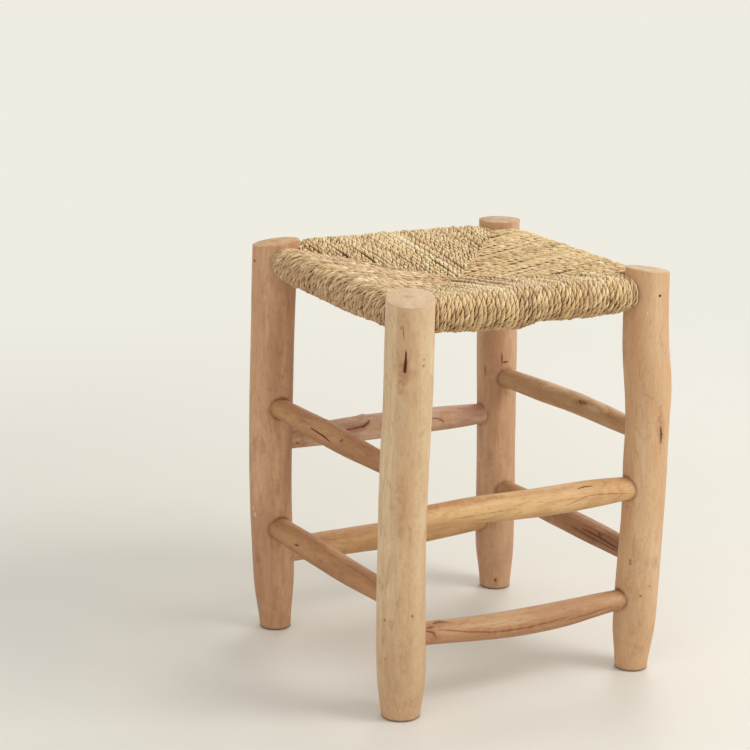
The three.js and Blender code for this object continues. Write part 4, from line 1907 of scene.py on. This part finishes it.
def rungs(between: dict[str, Side]) -> list[Rung]:
    """Lists the eight rungs.

    Args:
        between: The sides by their name.

    Returns:
        The rungs, two for each side.
    """
    honey = palette((220, 181, 129), (205, 164, 111), (164, 114, 66), (195, 144, 91))
    straw = palette((201, 163, 120), (185, 144, 103), (138, 94, 62), (171, 123, 86))
    dusk = palette((193, 144, 98), (173, 124, 81), (130, 88, 54), (157, 106, 67))
    maize = palette((216, 173, 122), (200, 155, 106), (150, 104, 66), (182, 134, 90))
    pink = palette((218, 182, 152), (200, 160, 130), (146, 102, 76), (180, 132, 106))
    dark = palette((206, 162, 118), (184, 138, 98), (92, 56, 36), (156, 106, 72))
    olive = palette((214, 178, 134), (196, 156, 113), (146, 104, 68), (178, 134, 94))
    table = (
        ("front_upper", (215.5, 209.3), 15.8, (.715, .79, .905, .975, 1, .925, .785),
         (0, .02, 0, -.14, -.1, -.01, 0), honey, 0.3, 0.65, (
             Mark(CRACK, ((50, -10), (67, -9), (109, -1), (128, 4)), 0.45, 0.5),
             Mark(CRACK, ((190, -8), (205, 5), (218, 15), (233, 14), (252, 5), (275, -10)),
                  0.5, 0.7),
             Mark(SLIT, ((208, 52), (217, 57), (226, 54)), 0.8, 0.9),
             Mark(STAIN, ((12, 62), (60, 66), (118, 64)), 4, 0.85),
             Mark(STAIN, ((150, 70), (205, 66)), 2.4, 0.5),
             Mark(STAIN, ((215, 35), (285, 35)), 11, 0.45, 2.4),
         ), ((218, 54, 12, -0.8),)),
        ("front_lower", (87, 81.7), 14.4, (.85, .9, .965, 1, .985, .875, .8),
         (0, -.16, -.4, -.48, -.41, -.15, 0), straw, 0.6, 0.6, (
             Mark(STAIN, ((24, 56), (58, 60)), 5.5, 1, 1.9),
             Mark(KNOT, ((36, 66), (44, 72), (54, 66)), 2.4, 0.75),
             Mark(KNOT, ((26, 44), (34, 50)), 1.8, 0.7),
             Mark(KNOT, ((25, 31), (32, 18), (35, -3)), 2.2, 0.8),
             Mark(STAIN, ((28, 8), (40, -8)), 4, 0.9),
             Mark(STAIN, ((48, 24), (101, -2), (150, -3), (191, 6)), 2.6, 0.9),
             Mark(CRACK, ((40, 29), (48, 27), (73, 9), (101, -2), (119, -5), (150, -3),
                          (176, 1), (200, 8)), 1.2, 0.75, 2.6,
                  (0.4, 0.5, 0.7, 0.9, 1, 0.9, 0.6, 0.3)),
             Mark(CRACK, ((200, -7), (228, -10), (256, -3)), 1.3, 0.6),
         ), ((44, 72, 12, 1.0),)),
        ("left_upper", (264.8, 265.4), 13.6, (.77, .81, .92, 1, .955, .89, .84),
         (0, -.01, -.08, 0, -.04, 0, 0), dusk, 0.6, 0.5, (
             Mark(CRACK, ((204, 145), (187, 146)), 0.6, 0.6),
             Mark(SLIT, ((178, 163), (170, 163), (156, 166), (144, 169), (133, 178)), 1, 1, 2.6),
             Mark(STAIN, ((195, 154), (165, 158)), 3, 0.7),
             Mark(STAIN, ((225, 130), (190, 120)), 3, 0.6),
             Mark(KNOT, ((112, 144),), 1.7, 0.9),
             Mark(STAIN, ((116, 100), (96, 110)), 3, 0.5),
             Mark(CRACK, ((70, 134), (58, 147), (61, 169)), 0.6, 0.7),
             Mark(CRACK, ((42, -160), (32, -156)), 1.5, 0.8),
         ), ((160, 100, 26, 1.2), (112, 144, 10, 0.8))),
        ("left_lower", (124.6, 123.6), 14.6, (.82, .865, .945, .98, 1, .93, .87),
         (0, 0, -.09, -.08, -.06, -.02, 0), dusk, 0.7, 0.5, (
             Mark(SLIT, ((210, 168), (201, 163)), 1, 0.9),
             Mark(STAIN, ((74, 118), (60, 128), (28, 150)), 5.5, 0.9, 1.8),
             Mark(CRACK, ((150, 118), (60, 122), (36, 128)), 1, 0.5),
             Mark(KNOT, ((30, -150),), 1.2, 0.6),
         ), ()),
        ("back_upper", (221.6, 218), 15, (.8, .87, .955, 1, .965, .895, .785),
         (0, .02, .07, .06, .05, -.01, 0), pink, 0.6, 0.5, (
             Mark(STAIN, ((76, 16), (100, 21), (116, 26)), 3.4, 0.8),
             Mark(KNOT, ((88, 18), (102, 21), (113, 26), (118, 36), (121, 47)), 1.4, 0.8),
             Mark(STAIN, ((104, 78), (128, 76)), 2.6, 0.7),
             Mark(KNOT, ((28, -14),), 2, 0.7),
             Mark(STAIN, ((34, 0), (39, -45)), 3.4),
             Mark(STAIN, ((20, 40), (52, 46)), 4, 0.6),
             Mark(CRACK, ((203, 22), (210, 18), (215, 10), (218, -4)), 1.3, 0.9),
             Mark(STAIN, ((226, 30), (214, 26)), 4, 0.6),
         ), ((118, 104, 5, 1.6), (119, 47, 14, 1.0))),
        ("back_lower", (89, 87.2), 15.8, (.88, .92, .96, 1, .96, .885, .82),
         (0, -.03, -.08, -.14, -.16, -.07, 0), maize, 0.5, 0.5, (), ()),
        ("right_upper", (268.8, 264.6), 12.5, (.8, .905, .95, .975, 1, .93, .865),
         (0, .08, .19, .22, .1, .02, 0), olive, 0.6, 0.6, (
             Mark(KNOT, ((115, 136), (109, 141), (101, 140)), 1.8),
             Mark(KNOT, ((110, 150), (108, 130)), 1.2, 0.8),
             Mark(CRACK, ((119, 150), (109, 141), (96, 128)), 1, 0.9),
             Mark(STAIN, ((112, 140),), 5, 0.7),
             Mark(PALE, ((94, 146), (74, 148)), 3.4, 0.5),
             Mark(STAIN, ((110, 128), (72, 134)), 3, 0.6),
             Mark(CRACK, ((196, 177), (187, -158)), 0.8, 0.6),
             Mark(STAIN, ((60, 150), (30, 160)), 4, 0.6),
         ), ((108, 140, 10, 0.7),)),
        ("right_lower", (129.4, 126.3), 13.7, (.89, .955, 1, .97, .92, .87, .82),
         (0, .02, .06, .07, .05, .02, 0), dark, 0.6, 1.0, (
             Mark(STAIN, ((120, 150), (60, 150), (22, 160)), 4.2, 0.9, 1.9),
             Mark(KNOT, ((64, 142), (56, 150)), 2.6, 0.9),
             Mark(KNOT, ((92, 156), (60, 158), (40, 163), (22, 168)), 1.6, 0.9),
             Mark(KNOT, ((110, 172), (70, 178), (40, -178), (20, -176)), 1.3, 0.8),
             Mark(CRACK, ((80, -166), (52, 175), (23, -175)), 1, 0.9),
             Mark(CRACK, ((100, 138), (50, 136), (24, 140)), 1, 0.8),
             Mark(STAIN, ((262, 170), (236, 165)), 5, 0.9),
         ), ()),
    )
    made = []
    for number, (name, heights, radius, girths, bows, colours, blotch, grain, marks,
                 swells) in enumerate(table):
        side = name.split("_")[0]
        made.append(Rung(
            f"rung_{name}_pole", f"rung_{name}", "rung_wood",
            Wood(f"wood_rung_{name}", *colours, 20.0 + 3.7 * number, blotch, grain), marks,
            radius, girths, lumps=1.2, swells=swells,
            face=0.0 if side in ("front", "back") else 180.0, legs=between[side].legs,
            heights=heights, bows=bows))
    return made


def fields(around: dict[str, Side]) -> list[Field]:
    """Lists the seat's four fields of cords.

    Args:
        around: The sides by their name.

    Returns:
        The fields.
    """
    table = {
        "front": dict(sags=((-9, 13, 4.5), (-48, 34, 3), (80, 30, 1)), over=True, hue=0.05,
                      light=0.19, roll=(-0.42, 0.2)),
        "left": dict(sags=((-30, 40, 1.5),), vivid=1.5, hue=0.3, light=-0.08, roll=(-0.18, 0.6)),
        "back": dict(sags=((20, 40, 2),), over=True, hue=-0.1, light=0.19, roll=(-0.2, 0.1)),
        "right": dict(sags=((-10, 50, 1.5),), hue=-0.15, light=0.05, roll=(-0.2, 0.1)),
    }
    return [Field(name, around[name], PalmCord(f"palm_cord_{name}", 3.0 + 5.0 * number),
                  11 + number, **looks)
            for number, (name, looks) in enumerate(table.items())]


@dataclass
class Studio:
    """The floor, the lamps, the surroundings and the camera.

    Attributes:
        eye: Where the camera stands, in metres.
        yaw: How far it is turned from Y towards X, in degrees.
        pitch: How far it looks down, in degrees.
        roll: How far it is tilted sideways, in degrees.
        lens: Its focal length, for a sensor of this width, mm.
        sensor: The sensor's width, mm.
        far: How far it sees, in metres.
        ground: The floor's size, in metres.
        aim: Where the lamps point, in metres.
        glow: The strength of the light from all round.
    """

    eye: Point = (-1.327, -2.182, 1.010)
    yaw: float = 29.33
    pitch: float = 15.23
    roll: float = 0.66
    lens: float = 115.87
    sensor: float = 36.0
    far: float = 60.0
    ground: float = 30.0
    aim: Point = (0.0, 0.0, 0.25)
    glow: float = 0.68

    def build(self) -> None:
        """Sets everything up."""
        self.floor()
        self.lamps()
        self.surroundings()
        self.camera()

    def floor(self) -> None:
        """Lays a wide pale floor."""
        nothing_selected()
        bpy.ops.mesh.primitive_plane_add(size=self.ground, location=(0.0, 0.0, 0.0))
        floor = bpy.context.object
        floor.name = floor.data.name = "floor"
        floor.data.materials.append(Painted().material())

    def lamps(self) -> None:
        """Hangs large soft lamps."""
        for name, place, size, power, colour in (
                ("key", (1.6, -1.7, 2.2), 1.5, 46.0, (1.0, 0.99, 0.97)),
                ("fill", (-2.4, -1.2, 1.4), 2.4, 9.0, (1.0, 0.99, 0.98)),
                ("rear", (1.7, 1.7, 1.7), 1.3, 14.0, (1.0, 0.99, 0.975))):
            nothing_selected()
            bpy.ops.object.light_add(type="AREA", location=place)
            lamp = bpy.context.object
            lamp.name = f"lamp_{name}"
            lamp.data.shape = "DISK"
            lamp.data.size = size
            lamp.data.energy = power
            lamp.data.color = colour
            to_stool = Vector(self.aim) - Vector(place)
            lamp.rotation_euler = to_stool.to_track_quat("-Z", "Y").to_euler()

    def surroundings(self) -> None:
        """Makes a pale world: soft light on the object, and a plain backdrop behind it."""
        world = bpy.data.worlds.new("studio")
        bpy.context.scene.world = world
        world.use_nodes = True
        graph = Graph(world.node_tree)
        light, shown = (
            graph.node("ShaderNodeBackground", {}, {"Color": colour, "Strength": strength})
            for colour, strength in ((srgb(255, 253, 249), self.glow), (BACKDROP, 1.0)))
        inputs = {0: graph.seen_directly(), 1: light, 2: shown}
        graph.end(graph.node("ShaderNodeMixShader", {}, inputs), "ShaderNodeOutputWorld")

    def camera(self) -> None:
        """Sets the camera at the photograph's viewing angle."""
        yaw, pitch, roll = (math.radians(angle) for angle in (self.yaw, self.pitch, self.roll))
        ahead = Vector((math.sin(yaw) * math.cos(pitch), math.cos(yaw) * math.cos(pitch),
                        -math.sin(pitch)))
        level = Vector((math.cos(yaw), -math.sin(yaw), 0.0))
        above = level.cross(ahead)
        right = math.cos(roll) * level + math.sin(roll) * above
        up = -math.sin(roll) * level + math.cos(roll) * above
        nothing_selected()
        bpy.ops.object.camera_add()
        camera = bpy.context.object
        camera.name = "camera"
        camera.data.sensor_fit = "HORIZONTAL"
        camera.data.sensor_width = self.sensor
        camera.data.lens = self.lens
        camera.data.clip_end = self.far
        turn = Matrix((right, up, -ahead)).transposed().to_4x4()
        camera.matrix_world = Matrix.Translation(self.eye) @ turn
        bpy.context.scene.camera = camera


def main() -> None:
    """Builds the stool around its frame and puts it in the studio."""
    logging.basicConfig(level=logging.INFO, format="%(name)s %(message)s")
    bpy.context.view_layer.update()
    Studio().build()
    stand = legs()
    around = sides(stand)
    carcass = Carcass(list(stand.values()), rungs(around), around)
    carcass.build()
    carcass.dress_nodes()
    for part in fields(around):
        part.build()
    Core(list(around.values())).build()
    bpy.context.scene.view_settings.view_transform = "Standard"
    bpy.context.view_layer.update()


if __name__ == "__main__":
    main()
